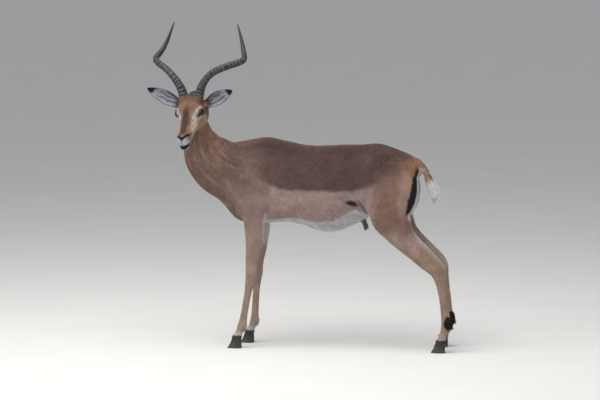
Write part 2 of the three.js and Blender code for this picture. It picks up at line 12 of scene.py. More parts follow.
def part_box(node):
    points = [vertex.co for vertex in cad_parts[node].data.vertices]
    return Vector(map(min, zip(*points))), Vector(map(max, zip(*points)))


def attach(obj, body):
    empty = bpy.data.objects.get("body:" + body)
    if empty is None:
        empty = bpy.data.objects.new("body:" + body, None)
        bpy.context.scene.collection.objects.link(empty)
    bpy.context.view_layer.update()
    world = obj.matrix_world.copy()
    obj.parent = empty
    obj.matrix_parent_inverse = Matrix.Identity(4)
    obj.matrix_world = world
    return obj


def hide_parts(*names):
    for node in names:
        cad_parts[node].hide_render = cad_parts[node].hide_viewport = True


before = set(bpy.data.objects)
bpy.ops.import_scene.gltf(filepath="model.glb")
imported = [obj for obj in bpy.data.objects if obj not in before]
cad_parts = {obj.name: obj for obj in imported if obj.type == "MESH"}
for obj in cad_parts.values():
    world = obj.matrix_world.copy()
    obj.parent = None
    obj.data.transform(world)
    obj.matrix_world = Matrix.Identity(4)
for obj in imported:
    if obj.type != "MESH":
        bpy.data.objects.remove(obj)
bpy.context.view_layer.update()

bl_info = {
    "name": "Impala Ram",
    "version": (1, 0, 0),
    "blender": (4, 5, 0),
    "location": "View3D > Sidebar > Ram",
    "description": "Builds the skin, coat, eyes, horns and hooves of a life-size impala ram",
    "category": "Object",
}

# ------------------------------------------------------------------ the ram's measurements, in millimetres
# The drawing frame has the tail towards +X and the ram's left side towards -Y.
# to_row() moves it onto the solids.


FORE_TRACK, HIND_TRACK = 84, 90
CORONET, FETLOCK, KNEE, ELBOW, HOCK = 50, 96, 312, 560, 358
HIND_REACH = 40
FORE_REACH = {"left": -40, "right": -14}
HEAD_AT = np.array([-546.0, -110.0, 1083.0])
HEAD_TURN, HEAD_DROP, HEAD_ROLL = 76, 57, 3.5
FACE = 232
EYE_AT = np.array([49.0, 66.0, -32.0])
EYE_RADIUS, LID_THICKNESS = 17, 2.4
EAR, EAR_AT, EAR_RISE, EAR_BACK = 175, (47, 20, -52), 25.5, -14
HORN_BUTT, HORN_FLARE = 18.5, 3.2
HOOF_LENGTH, HOOF_WIDTH = 62, 19
COAT_DEPTH = 2.5

TRUNK_ROWS = [
    [-398, 740, 645, 24, 690],
    [-372, 832, 586, 58, 700],
    [-330, 868, 553, 80, 705],
    [-280, 888, 539, 94, 700],
    [-224, 899, 537, 103, 695],
    [-150, 889, 540, 112, 690],
    [-86, 875, 533, 118, 685],
    [-20, 869, 511, 122, 680],
    [40, 871, 500, 123, 680],
    [100, 875, 513, 119, 688],
    [172, 876, 549, 108, 700],
    [250, 881, 584, 98, 718],
    [302, 869, 620, 93, 732],
    [345, 853, 655, 86, 745],
    [388, 835, 690, 73, 757],
    [420, 812, 730, 52, 769],
    [436, 792, 754, 26, 772],
]
NECK_ROWS = [
    [-262, 0, 735, 84, 140, 150],
    [-348, -1, 757, 76, 122, 149],
    [-427, -5, 790, 67, 104, 140],
    [-485, -12, 836, 60, 90, 115],
    [-518, -20, 890, 56, 74, 86],
    [-532, -28, 944, 53, 56, 58],
    [-538, -45, 990, 49, 42, 50],
    [-541, -60, 1020, 40, 27, 40],
]
TAIL_ROWS = [
    [404, 0, 800, 24, 22, 22],
    [431, 0, 787, 17, 14, 15],
    [451, 1, 760, 13, 11, 13],
    [466, 3, 732, 14, 12, 14],
    [479, 5, 704, 18, 14, 18],
    [489, 7, 670, 19, 14, 17],
    [491, 8, 640, 9, 7, 8],
]
HEAD_ROWS = [
    [0, -26, -40, 26, 18, 22],
    [0, -10, -42, 41, 36, 42],
    [0, 12, -43, 47, 43, 68],
    [0, 36, -40, 51, 43, 87],
    [0, 62, -36, 51, 39, 84],
    [0, 90, -36, 42, 35, 70],
    [0, 120, -36, 33, 33, 57],
    [0, 152, -34, 28, 30, 46],
    [0, 180, -32, 25.5, 27, 38],
    [0, 202, -32, 25, 24, 32],
    [0, FACE - 18, -34, 21, 18, 26],
    [0, FACE - 10, -37, 15, 11, 18],
]
SHEATH_ROWS = [
    [108, 0, 543, 18, 16, 18],
    [150, 0, 554, 15, 14, 16],
    [180, 0, 556, 12, 12, 12],
    [193, 0, 534, 10, 9, 9],
    [194, 0, 514, 5, 5, 5],
]
EAR_ROWS = [
    [0, 15, 13, 7],
    [0.12, 18, 17, 6],
    [0.28, 25, 18, 5.5],
    [0.45, 29, 15, 5],
    [0.62, 27, 11, 4.6],
    [0.78, 20, 7, 4.2],
    [0.9, 12, 4, 4],
    [1, 3, 1, 3.6],
]
HORN_PATH = [
    [33, 18, -20],
    [41, 18, 14],
    [51, 13, 40],
    [75, 9, 75],
    [103, 13, 101],
    [135, 28, 119],
    [167, 49, 132],
    [194, 77, 143],
    [206, 104, 153],
    [201, 123, 168],
    [189, 141, 192],
    [177, 154, 223],
    [163, 162, 264],
    [148, 167, 307],
]


def fore_rows(reach):
    """Rows down a foreleg, its hoof set reach ahead of the knee."""
    foot = -287 + reach
    return [
        [-268, 52, 720, 40, 66, 70],
        [-270, 62, 650, 44, 66, 62],
        [-274, 72, 596, 41, 54, 52],
        [-275, 78, ELBOW, 36, 46, 47],
        [-272, 81, 502, 30, 42, 42],
        [-275, 82, 460, 27, 36, 38],
        [-279, 83, 415, 25, 31, 34],
        [-284, 83, 370, 23.5, 27, 28],
        [-286, 83, 336, 23.5, 25, 25],
        [-287, 83, KNEE, 23.5, 24, 25],
        [-288 + 0.13 * (foot + 288), 83, 282, 19.5, 20, 22],
        [-288 + 0.32 * (foot + 288), 83.5, 240, 15.5, 16, 17.5],
        [-288 + 0.52 * (foot + 288), 84, 195, 14.5, 15.5, 17],
        [-288 + 0.7 * (foot + 288), 84, 155, 14.5, 15.5, 17],
        [-288 + 0.86 * (foot + 288), FORE_TRACK, 120, 16, 17, 19],
        [foot, FORE_TRACK, FETLOCK, 18.5, 20, 22],
        [foot - 10, FORE_TRACK, 72, 15, 16, 18],
        [foot - 19, FORE_TRACK, CORONET, 18, 20, 20],
        [foot - 25, FORE_TRACK, 30, 18, 22, 20],
    ]


def hind_rows(shift):
    """Rows down a hind leg, the whole leg set shift towards the tail."""
    foot = 513 + HIND_REACH
    rows = [
        [305, 46, 770, 40, 84, 84],
        [322, 56, 710, 47, 98, 108],
        [324, 63, 655, 52, 104, 106],
        [318, 70, 610, 53, 100, 94],
        [320, 76, 573, 50, 90, 84],
        [339, 80, 534, 43, 73, 71],
        [364, 84, 497, 36, 58, 57],
        [393, 86, 466, 30, 51, 51],
        [432, 88, 431, 25.5, 46, 47],
        [471, 89, 397, 22, 44, 44],
        [511, 89, HOCK, 23, 37, 40],
        [529, 89, 309, 19.5, 25, 25],
        [538, 89.5, 258, 15.5, 19.5, 21],
        [538 + 0.45 * (foot - 538), HIND_TRACK, 215, 14.5, 19, 20],
        [538 + 0.8 * (foot - 538), HIND_TRACK, 170, 14.5, 19, 20],
        [foot, HIND_TRACK, 122, 17, 20, 23],
        [foot - 1, HIND_TRACK, FETLOCK + 8, 18.5, 21, 26],
        [foot - 10, HIND_TRACK, 78, 15, 17, 18],
        [foot - 19, HIND_TRACK, CORONET + 2, 18, 20, 20],
        [foot - 25, HIND_TRACK, 30, 18, 22, 20],
    ]
    return [[x + shift, *rest] for x, *rest in rows]


FEET = {
    "fore_left": (-312 + FORE_REACH["left"], -FORE_TRACK),
    "fore_right": (-312 + FORE_REACH["right"], FORE_TRACK),
    "hind_left": (487 + HIND_REACH, -HIND_TRACK),
    "hind_right": (479 + HIND_REACH, HIND_TRACK),
}

# ------------------------------------------------------------------ small helpers on whole arrays


def smooth(low, high, value):
    """0 below low, 1 above high, and the curve 3t^2 - 2t^3 between."""
    t = np.clip((value - low) / (high - low), 0, 1)
    return t * t * (3 - 2 * t)


def melt(a, b, k):
    """Smooth union of two distances: their lower one, less h^2 k / 4 where they differ by under k."""
    h = np.maximum(k - np.abs(a - b), 0) / k
    return np.minimum(a, b) - h * h * k / 4


def carve(a, b, k):
    """a with b smoothly taken out of it."""
    return -melt(-a, b, k)


def unit(v):
    """Vectors scaled to length one."""
    return v / np.maximum(np.linalg.norm(v, axis=-1, keepdims=True), 1e-9)


def beyond(r, length):
    """Distance-like value length * (1 - 1 / r), zero where the scaled radius r is one."""
    return np.where(r < 1e-6, -1e3, length * (1 - 1 / np.maximum(r, 1e-6)))


def rows_at(rows, x):
    """Cubic curves through table rows keyed by their first column, sloped by their neighbours."""
    rows = np.asarray(rows, float)
    x = np.asarray(x, float)
    last = len(rows) - 1
    key = rows[:, 0]
    i = np.clip(np.searchsorted(key, x) - 1, 0, last - 1)
    near, far = np.maximum(np.arange(last + 1) - 1, 0), np.minimum(np.arange(last + 1) + 1, last)
    slope = (rows[far] - rows[near]) / (key[far] - key[near])[:, None]
    h = (key[i + 1] - key[i])[..., None]
    t = np.clip((x[..., None] - key[i][..., None]) / h, 0, 1)
    t2, t3 = t * t, t**3
    return (
        (2 * t3 - 3 * t2 + 1) * rows[i]
        + (t3 - 2 * t2 + t) * slope[i] * h
        + (3 * t2 - 2 * t3) * rows[i + 1]
        + (t3 - t2) * slope[i + 1] * h
    )


def spline(points, share, slope=False):
    """Uniform Catmull-Rom curve through points, or its slope, at shares 0 to 1 of its length in spans."""
    p = np.vstack([2 * points[0] - points[1], points, 2 * points[-1] - points[-2]])
    at = np.clip(np.asarray(share) * (len(points) - 1), 0, len(points) - 1 - 1e-9)
    i = at.astype(int)
    t = (at - i)[:, None]
    a, b, c, d = p[i], p[i + 1], p[i + 2], p[i + 3]
    m0, m1 = (c - a) / 2, (d - b) / 2
    k3, k2 = 2 * b - 2 * c + m0 + m1, -3 * b + 3 * c - 2 * m0 - m1
    return 3 * k3 * t * t + 2 * k2 * t + m0 if slope else ((k3 * t + k2) * t + m0) * t + b


def noise(points, size, seed):
    """Value noise from 0 to 1: random numbers on a lattice of the given size, blended by 3t^2 - 2t^3."""
    q = np.asarray(points, float) / size + seed * 17.17
    cell = np.floor(q).astype(np.int64)
    t = q - cell
    t = t * t * (3 - 2 * t)
    total = np.zeros(q.shape[:-1])
    for corner in np.ndindex((2,) * q.shape[-1]):
        spot = (cell + corner) * np.array([73856093, 19349663, 83492791][: q.shape[-1]])
        mixed = np.bitwise_xor.reduce(spot, axis=-1) + seed * 374761393
        mixed = (mixed ^ (mixed >> 13)) * 1274126177 & 0x7FFFFFFF
        weight = np.prod(np.where(np.array(corner), t, 1 - t), axis=-1)
        total += weight * ((mixed ^ (mixed >> 16)) & 0xFFFF) / 65535
    return total


# ------------------------------------------------------------------ the head's own frame

_turn, _drop, _roll = (math.radians(a) for a in (HEAD_TURN, HEAD_DROP, HEAD_ROLL))
AHEAD = np.array([-math.cos(_turn), -math.sin(_turn), 0])
UP = np.array([0.0, 0.0, 1.0])


def _rolled(v):
    return np.array(Matrix.Rotation(_roll, 3, Vector(AHEAD)) @ Vector(v))


_right = _rolled(np.cross(AHEAD, UP))
_down = _rolled(AHEAD * math.cos(_drop) - UP * math.sin(_drop))
HEAD_AXES = np.array([_right, _down, np.cross(_right, _down)])  # rows: right, down the face, out of the face


def from_head(h):
    return HEAD_AT + np.asarray(h, float) @ HEAD_AXES


def to_head(p):
    return (p - HEAD_AT) @ HEAD_AXES.T


_low, _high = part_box("eye_left")
SHIFT = (np.array(_low) + np.array(_high)) * 500 - from_head(EYE_AT * (-1, 1, 1))


def to_row(p):
    """Drawing frame, in millimetres, to the frame of the solids, in metres."""
    return (np.asarray(p) + SHIFT) / 1000


# ------------------------------------------------------------------ shapes that make the field


class Barrel:
    """Sections across X. Rows: x, top, bottom, half width, height of the widest level."""

    power = 2.15

    def __init__(self, rows):
        self.rows = np.array(rows, float)

    def measure(self, p):
        x = np.clip(p[:, 0], self.rows[0, 0], self.rows[-1, 0])
        _, top, bottom, half, wide = rows_at(self.rows, x).T
        dz = p[:, 2] - wide
        depth = np.where(dz > 0, top - wide, wide - bottom)
        r = ((np.abs(p[:, 1]) / half) ** self.power + (np.abs(dz) / depth) ** self.power) ** (1 / self.power)
        past = np.abs(p[:, 0] - x)
        return r, dz, depth, half, past

    def value(self, p):
        r, dz, _, _, past = self.measure(p)
        d = np.hypot(p[:, 1], dz) * (1 - 1 / np.maximum(r, 1e-6))
        return np.where(past > 0, np.hypot(np.maximum(d, 0), past) + np.minimum(d, 0), d)


class Limb:
    """A tapered tube along a smooth curve.

    Rows: x, y, z, half width, half depth to the front, half depth to the rear.
    """

    def __init__(self, rows, side=(0, -1, 0), side_end=None, power=2.0, place=None, steps=4):
        rows = np.array(rows, float)
        centres = rows[:, :3] if place is None else place(rows[:, :3])
        share = np.linspace(0, 1, (len(rows) - 1) * steps + 1)
        self.share = share
        self.centre = spline(centres, share)
        self.size = spline(rows[:, 3:6], share)
        self.tangent = unit(spline(centres, share, slope=True))
        side = np.array(side, float)
        end = side if side_end is None else np.array(side_end, float)
        sides = side + (end - side) * (share * share * (3 - 2 * share))[:, None]
        self.front = unit(np.cross(self.tangent, sides))
        self.side = np.cross(self.front, self.tangent)
        self.length = np.concatenate([[0], np.cumsum(np.linalg.norm(np.diff(self.centre, axis=0), axis=1))])
        self.power = power
        margin = self.size.max() + 62
        self.low, self.high = self.centre.min(0) - margin, self.centre.max(0) + margin

    def measure(self, p):
        """For each point: its value, how far along it lies, its offsets to side and front, its share."""
        gap = (self.centre**2).sum(1) - 2 * p @ self.centre.T
        nearest = gap.argmin(1)
        best = None
        for i in (np.maximum(nearest - 1, 0), np.minimum(nearest, len(self.centre) - 2)):
            a = self.centre[i]
            span = self.centre[i + 1] - a
            t = np.clip(((p - a) * span).sum(1) / (span**2).sum(1), 0, 1)
            q = p - a - span * t[:, None]
            k = t[:, None]
            su = (q * (self.side[i] * (1 - k) + self.side[i + 1] * k)).sum(1)
            sv = (q * (self.front[i] * (1 - k) + self.front[i + 1] * k)).sum(1)
            across, ahead, behind = (self.size[i] * (1 - k) + self.size[i + 1] * k).T
            depth = np.where(sv > 0, ahead, behind)
            length = np.sqrt((q * q).sum(1))
            along = np.sqrt(np.maximum(length**2 - su**2 - sv**2, 0)) / np.minimum(across, depth)
            r = (np.abs(su / across) ** self.power + np.abs(sv / depth) ** self.power) ** (1 / self.power)
            value = beyond(np.hypot(r, along), length)
            found = np.array(
                [
                    value,
                    self.length[i] + t * (self.length[i + 1] - self.length[i]),
                    su,
                    sv,
                    self.share[i] + t * self.share[1],
                ]
            )
            best = found if best is None else np.where(found[0] < best[0], found, best)
        return best

    def value(self, p):
        inside = ((p > self.low) & (p < self.high)).all(1)
        d = np.full(len(p), 1e3)
        if inside.any():
            d[inside] = self.measure(p[inside])[0]
        return d


class Swell:
    """An ellipsoid, such as one muscle, turned about Y by tilt degrees or set in the head's frame."""

    def __init__(self, centre, radii, tilt=0, head=False):
        c, s = math.cos(math.radians(tilt)), math.sin(math.radians(tilt))
        self.axes = HEAD_AXES if head else np.array([[c, 0, -s], [0, 1, 0], [s, 0, c]])
        self.centre = from_head(centre) if head else np.array(centre, float)
        self.radii = np.array(radii, float)

    def value(self, p):
        q = p - self.centre
        return beyond(np.linalg.norm(q @ self.axes.T / self.radii, axis=1), np.linalg.norm(q, axis=1))


def mirrored(rows, s):
    return [[x, s * y, *rest] for x, y, *rest in rows]


trunk = Barrel(TRUNK_ROWS)
neck = Limb(NECK_ROWS, side_end=(0.94, -0.34, 0), steps=20)
tail = Limb(TAIL_ROWS)
head = Limb(HEAD_ROWS, side=-HEAD_AXES[0], power=2.2, place=from_head)
sheath = Limb(SHEATH_ROWS)
legs = {
    "fore_left": Limb(mirrored(fore_rows(FORE_REACH["left"]), -1)),
    "fore_right": Limb(mirrored(fore_rows(FORE_REACH["right"]), 1)),
    "hind_left": Limb(mirrored(hind_rows(0), -1)),
    "hind_right": Limb(mirrored(hind_rows(-8), 1)),
}
brisket = Swell([-330, 0, 612], [72, 44, 66], 30)
body_swells = [
    Swell([x, s * y, z], radii, tilt)
    for s in (-1, 1)
    for x, y, z, radii, tilt in (
        (-262, 60, 690, (60, 46, 118), 22),
        (-318, 46, 640, (48, 40, 70), -24),
        (262, 55, 806, (50, 38, 40), 0),
    )
]
head_swells = [
    Swell([s * x, y, z], radii, head=True)
    for s in (-1, 1)
    for x, y, z, radii in (
        (34, 30, -86, (19, 46, 40)),
        (43, 63, -28, (14, 27, 21)),
        (35, 3, -15, (22, 30, 20)),
        (14, FACE - 32, -29, (12.5, 20, 18)),
        (17, 187, -18, (9.5, 14, 9)),
        (6, FACE - 15, -51, (11, 13, 11)),
    )
]

# Muscle, tendon and bone under the skin: where, how large, how tilted, how far out (+) or in (-).
RELIEF = [
    ((-196, 104, 720), (16, 30, 130), -8, -3.5),  # the crease behind the shoulder
    ((-236, 96, 770), (22, 30, 90), 20, 2.5),  # ridge of the shoulder blade
    ((-262, 100, 640), (40, 30, 44), -30, 3.0),  # the big muscle over the elbow
    ((-222, 92, 575), (16, 30, 40), 0, -4.0),  # the armpit's fold
    ((196, 104, 742), (58, 30, 44), 0, -5.0),  # hollow of the flank
    ((252, 90, 832), (26, 30, 22), 0, 4.0),  # point of the hip
    ((150, 100, 640), (70, 30, 40), -30, -2.5),  # before the stifle
    ((300, 110, 660), (60, 30, 80), 20, 3.0),  # front of the thigh
    ((352, 96, 690), (12, 30, 110), -14, -3.0),  # the line down the thigh
    ((396, 80, 690), (26, 30, 90), -8, 2.5),  # the ham
    ((352, 106, 500), (18, 26, 66), 38, 2.5),  # shin muscle
    ((418, 108, 462), (62, 14, 12), 42, -5.0),  # between shin and tendon, outside
    ((418, 66, 462), (62, 14, 12), 42, -4.0),  # and inside
    ((478, 110, 404), (44, 12, 9), 42, -4.5),
    ((478, 68, 404), (44, 12, 9), 42, -4.5),
    ((522, 106, 352), (16, 12, 20), 0, 2.0),  # hock bones
    ((516, 72, 346), (16, 12, 20), 0, 2.0),
    ((-288, 102, 318), (16, 10, 22), 0, 1.8),  # knee bones
    ((-288, 64, 318), (16, 10, 22), 0, 1.8),
    ((-258, 106, 470), (10, 16, 60), 0, -2.5),  # groove of the forearm
    ((-470, 50, 800), (70, 24, 14), 52, -3.5),  # groove of the throat
]


def relief(p):
    """What muscles and bones add to the skin: the sum of amount * exp(-squared scaled distance)."""
    total = np.zeros(len(p))
    flat = p * (1, 0, 1)
    for (x, y, z), radii, tilt, amount in RELIEF:
        c, s = math.cos(math.radians(tilt)), math.sin(math.radians(tilt))
        q = flat - (x, 0, z)
        u, w = q[:, 0] * c - q[:, 2] * s, q[:, 0] * s + q[:, 2] * c
        v = np.abs(p[:, 1]) - y
        total += amount * np.exp(-((u / radii[0]) ** 2) - (v / radii[1]) ** 2 - (w / radii[2]) ** 2)
    return total


def ear_axes(s):
    """Axes of one ear: along it, across it, and the way its cup faces; s is 1 for the ram's left ear."""
    out = np.cross([0, 0, s], AHEAD)
    rise, sweep = math.radians(EAR_RISE + (2 if s < 0 else 0)), math.radians(EAR_BACK)
    axis = unit(out * math.cos(rise) * math.cos(sweep) + UP * math.sin(rise) - AHEAD * math.sin(sweep))
    across = unit(np.cross(axis, AHEAD) * s)
    facing = unit(np.cross(across, axis) * s)
    return axis, across, facing, from_head([-s * EAR_AT[0], EAR_AT[1], EAR_AT[2]])


def ear_measure(p, s):
    """Share along one ear, share across it, and height over the middle of its sheet."""
    axis, across, facing, root = ear_axes(s)
    q = p - root
    t = (q @ axis) / EAR
    q = q + UP * (4 * np.clip(t, 0, 1.1) ** 2)[:, None]
    t = (q @ axis) / EAR
    _, width, cup, thick = rows_at(EAR_ROWS, np.clip(t, 0, 1)).T
    v = (q @ across) / width
    lift = q @ facing + cup * (1 - np.clip(v, -1.3, 1.3) ** 2)
    return t, v, lift / np.sqrt(1 + (2 * cup * v / width) ** 2), width, thick


def ear_field(p, s):
    """A cupped sheet: half its thickness taken from the distance to its middle, rounded at its rim and tip.
    """
    root = ear_axes(s)[3]
    d = np.full(len(p), 1e3)
    near = np.linalg.norm(p - root, axis=1) < EAR + 40
    t, v, lift, width, thick = ear_measure(p[near], s)
    half = thick * 0.44
    rim = (np.abs(v) - 1) * width + half
    past = np.maximum(np.maximum(-t, t - 0.985) * EAR, 0)
    d[near] = np.sqrt(np.maximum(rim, 0) ** 2 + lift**2 + past**2) - half
    return d


def eye_axes(s):
    """One eye in the head's frame: centre, and the ways it looks, to its inner corner and to its brow."""
    look = unit(np.array([s * 0.84, 0.16, 0.54]))
    inner = np.array([-0.36 * s, 1, 0.3])
    inner = unit(inner - look * (inner @ look))
    brow = np.cross(look, inner)
    return EYE_AT * (s, 1, 1), look, inner, brow * np.sign(brow[2])


def eye_measure(h, s):
    """Distance from an eye's centre, scaled radius of its opening (one at the lids), and distance ahead."""
    centre, look, inner, brow = eye_axes(s)
    q = h - centre
    a, b = q @ inner / 15, q @ brow
    b = b / np.where(b > 0, 9.5, 8.5) / (1 - 0.32 * np.clip(a, -1, 1) ** 2)
    return np.linalg.norm(q, axis=1), np.hypot(a, b), q @ look


def segment(h, a, b):
    """Distance from points to a straight line between a and b."""
    a, b = np.array(a, float), np.array(b, float)
    t = np.clip((h - a) @ (b - a) / ((b - a) @ (b - a)), 0, 1)
    return np.linalg.norm(h - a - t[:, None] * (b - a), axis=1)


def nostril(h, s):
    """Distance, seen from in front of the face, from the line of one nostril."""
    return segment(h[:, :2], (s * 26, 181), (s * 3, 204))


def under_lip(h):
    """Depth below the line of the mouth, which drops from the front of the lips to its corners."""
    return -(h[:, 2] + 32 + 0.38 * np.clip(224 - h[:, 1], 0, 40))


def head_field(p):
    """The skull's tube with its swells, lids drawn over the eyes, and grooves for nostrils and mouth."""
    d = head.value(p)
    for swell in head_swells:
        d = melt(d, swell.value(p), 12)
    d = d + 1.2
    near = d < 60
    h = to_head(p[near])
    f = d[near]
    for s in (-1, 1):
        r, ring, front = eye_measure(h, s)
        lid = r - EYE_RADIUS - LID_THICKNESS
        f = melt(f, np.where(front > -6, lid, 50), 7)
        pit = np.maximum(np.maximum((ring - 1) * 11, 13 - r), -front - 1)
        f = carve(f, pit, 1.5)
        f = melt(f, segment(h, (s * 38, 50, -10), (s * 42, 74, -14)) - 4.5, 9)
        f = melt(f, segment(h, (s * 21, 188, -20), (s * 9, 206, -13)) - 3.4, 6)
        f = f + 3.4 * np.exp(-((nostril(h, s) / 2.8) ** 2)) * smooth(-34, -26, h[:, 2])
    f = carve(f, segment(h, (0, 205, -6.5), (0, 228, -26)) - 1.6, 3)
    f = f + 3.0 * np.exp(-((under_lip(h) / 2.0) ** 2)) * smooth(180, 194, h[:, 1])
    d[near] = f
    return d


# How widely each shape melts into the body, and the level above which the head is looked for.
MUSCLE_MELT, SHEATH_MELT, NECK_MELT, LEG_MELT, TAIL_MELT, HEAD_MELT = 40, 14, 60, 34, 16, 26
HEAD_ABOVE = 815


def field(p):
    """The ram's skin is where this is zero: all its flesh melted together, less the depth of the coat."""
    d = trunk.value(p)
    for swell in (*body_swells, brisket):
        d = melt(d, swell.value(p), MUSCLE_MELT)
    d = melt(d, sheath.value(p), SHEATH_MELT)
    d = melt(d, neck.value(p), NECK_MELT)
    for leg in legs.values():
        d = melt(d, leg.value(p), LEG_MELT)
    d = melt(d, tail.value(p), TAIL_MELT) + COAT_DEPTH
    close = d < 30
    d[close] -= relief(p[close])
    d = np.maximum(d, CORONET - 7 - p[:, 2])
    high = p[:, 2] > HEAD_ABOVE
    if high.any():
        q = p[high]
        e = melt(d[high], head_field(q), HEAD_MELT)
        for s in (-1, 1):
            base = np.linalg.norm(q - ear_axes(s)[3] - ear_axes(s)[0] * 4, axis=1) - 17
            e = melt(e, melt(ear_field(q, s), base, 10), 9)
        d[high] = e
    return d


# ------------------------------------------------------------------ a surface from the field


BODY_SPACE = [-640, -190, 36], [610, 190, 1010]
HEAD_SPACE = [-770, -300, 850], [-330, 70, 1215]


def in_parts(function, p, most=150000):
    """The function's values for many points, worked out a part at a time."""
    if len(p) <= most:
        return function(p)
    return np.concatenate([function(part) for part in np.array_split(p, len(p) // most + 1)])


def level_surface(low, high, step):
    """Points and quads where the field is zero.

    The field is sampled on a lattice, first a coarse one and then a fine one only near the surface. Each
    cell with both signs at its corners gets one point, the mean of where its edges cross zero, and each
    crossed edge joins the points of its four cells with a quad.
    """
    block = 4
    low, high = np.array(low, float), np.array(high, float)
    cells = np.ceil((high - low) / (step * block)).astype(int)
    spots = np.stack(np.meshgrid(*[np.arange(n + 1) for n in cells], indexing="ij"), -1).reshape(-1, 3)
    rough = np.abs(in_parts(field, low + spots * step * block)).reshape(cells + 1)
    for axis in range(3):
        lower = np.take(rough, range(rough.shape[axis] - 1), axis)
        rough = np.minimum(lower, np.take(rough, range(1, rough.shape[axis]), axis))
    close = rough < 2.3 * block * step
    for axis in range(3):
        close = close.repeat(block, axis)
    known = np.zeros(np.array(close.shape) + 1, bool)
    for corner in np.ndindex(2, 2, 2):
        known[tuple(slice(c, n + c) for c, n in zip(corner, close.shape))] |= close
    value = np.ones(known.shape)
    value[known] = in_parts(field, low + np.argwhere(known) * step)
    inside = value < 0
    count = sum(
        inside[tuple(slice(c, n + c) for c, n in zip(corner, close.shape))].astype(np.int8)
        for corner in np.ndindex(2, 2, 2)
    )
    mixed = close & (count > 0) & (count < 8)
    number = np.full(close.shape, -1)
    number[mixed] = np.arange(mixed.sum())
    total, weight, quads = np.zeros((mixed.sum(), 3)), np.zeros(mixed.sum()), []
    for axis in range(3):
        step_on = np.eye(3, dtype=int)
        a = [slice(None)] * 3
        b = [slice(None)] * 3
        a[axis], b[axis] = slice(0, -1), slice(1, None)
        a, b = tuple(a), tuple(b)
        at = np.argwhere((inside[a] != inside[b]) & known[a] & known[b])
        va, vb = value[tuple(at.T)], value[tuple((at + step_on[axis]).T)]
        point = low + (at + np.outer(va / (va - vb), step_on[axis])) * step
        one, two = step_on[(axis + 1) % 3], step_on[(axis + 2) % 3]
        around = [at - one - two, at - two, at, at - one]
        good = np.all([((c >= 0) & (c < close.shape)).all(1) for c in around], axis=0)
        at, point, around = at[good], point[good], [number[tuple(c[good].T)] for c in around]
        good = np.all([c >= 0 for c in around], axis=0)
        for c in around:
            c, q = c[good], point[good]
            weight += np.bincount(c, minlength=len(weight))
            total += np.stack([np.bincount(c, q[:, k], minlength=len(weight)) for k in range(3)], 1)
        ring = np.stack(around, 1)[good]
        outward = inside[tuple(at[good].T)]
        quads.append(np.where(outward[:, None], ring, ring[:, ::-1]))
    return total / np.maximum(weight, 1)[:, None], np.concatenate(quads)


def slope_of(p, reach=0.35):
    """The field and its slope, from its values at the four corners of a small tetrahedron."""
    corners = np.array([[1, -1, -1], [-1, -1, 1], [-1, 1, -1], [1, 1, 1]], float)
    found = np.stack([in_parts(field, p + c * reach) for c in corners], 1)
    return found.mean(1), found @ corners / (4 * reach)


def settle(p, times=1, most=2.0):
    """Points moved onto the surface by steps of -value * slope / |slope|^2, none longer than most."""
    for _ in range(times):
        value, slope = slope_of(p)
        move = -value[:, None] * slope / np.maximum((slope**2).sum(1), 0.05)[:, None]
        size = np.linalg.norm(move, axis=1, keepdims=True)
        p = p + move * np.minimum(1, most / np.maximum(size, 1e-9))
    return p


# ------------------------------------------------------------------ parts, lie of the coat and unwrapping

PARTS = [
    "trunk",
    "neck",
    "head",
    "fore_left",
    "fore_right",
    "hind_left",
    "hind_right",
    "tail",
    "ear_left",
    "ear_right",
]


def anatomy(p):
    """For every part: how far each point is from it, the way its hair lies, grain and unwrapping
    coordinates.

    The lie is each part's own direction (backwards and down on the trunk, down the legs, up the face), the
    parts weighted by exp(-distance / 14 mm). Grain runs along the part and across it. The unwrapping is the
    share along the part and the angle round it, over a full turn.
    """
    gap, flow, grain, chart = [], [], [], []

    def note(value, way, along, round_it, share, angle):
        gap.append(value)
        flow.append(np.broadcast_to(way, p.shape))
        grain.append(np.column_stack([along, round_it]))
        chart.append(np.column_stack([share, angle / (2 * math.pi) + 0.5]))

    _, dz, *_ = trunk.measure(p)
    way = np.column_stack([np.full(len(p), 1.0), 0 * dz, -0.32 - 0.25 * smooth(-150, -300, p[:, 0])])
    note(trunk.value(p), way, p[:, 0], p[:, 1:], (p[:, 0] + 400) / 840, np.arctan2(p[:, 1], dz))
    for limb, sign in [(neck, -1), (head, -1), *[(leg, 1) for leg in legs.values()], (tail, 1)]:
        value, along, su, sv, share = limb.measure(p)
        way = sign * np.stack([np.interp(share, limb.share, limb.tangent[:, k]) for k in range(3)], 1)
        if limb is head:
            way = unit(way - 0.55 * smooth(-45, -90, to_head(p)[:, 2])[:, None] * HEAD_AXES[2])
        if limb is neck:
            way = unit(way + (0.1, 0, -0.2))
        note(value, way, along, np.column_stack([su, sv]), share, np.arctan2(su, sv))
    for s in (1, -1):
        axis, across, _, _ = ear_axes(s)
        t, v, lift, width, _ = ear_measure(p, s)
        value = np.where(t > 0.04, ear_field(p, s) - 3, 60)
        spread = unit(axis + across * (v * 0.35)[:, None])
        note(
            value,
            spread,
            t * EAR,
            np.column_stack([v * width, lift]),
            t,
            v * 0.9 + np.where(lift > 0, 1.6, -1.6),
        )
    gap = np.array(gap)
    weight = np.exp(-np.clip(gap - gap.min(0), 0, 200) / 14)
    lie = np.einsum("kn,knj->nj", weight, np.array(flow))
    part = gap.argmin(0)
    pick = np.arange(len(p))
    return part, unit(lie), np.array(grain)[part, pick], np.array(chart)[part, pick], gap


# ------------------------------------------------------------------ markings


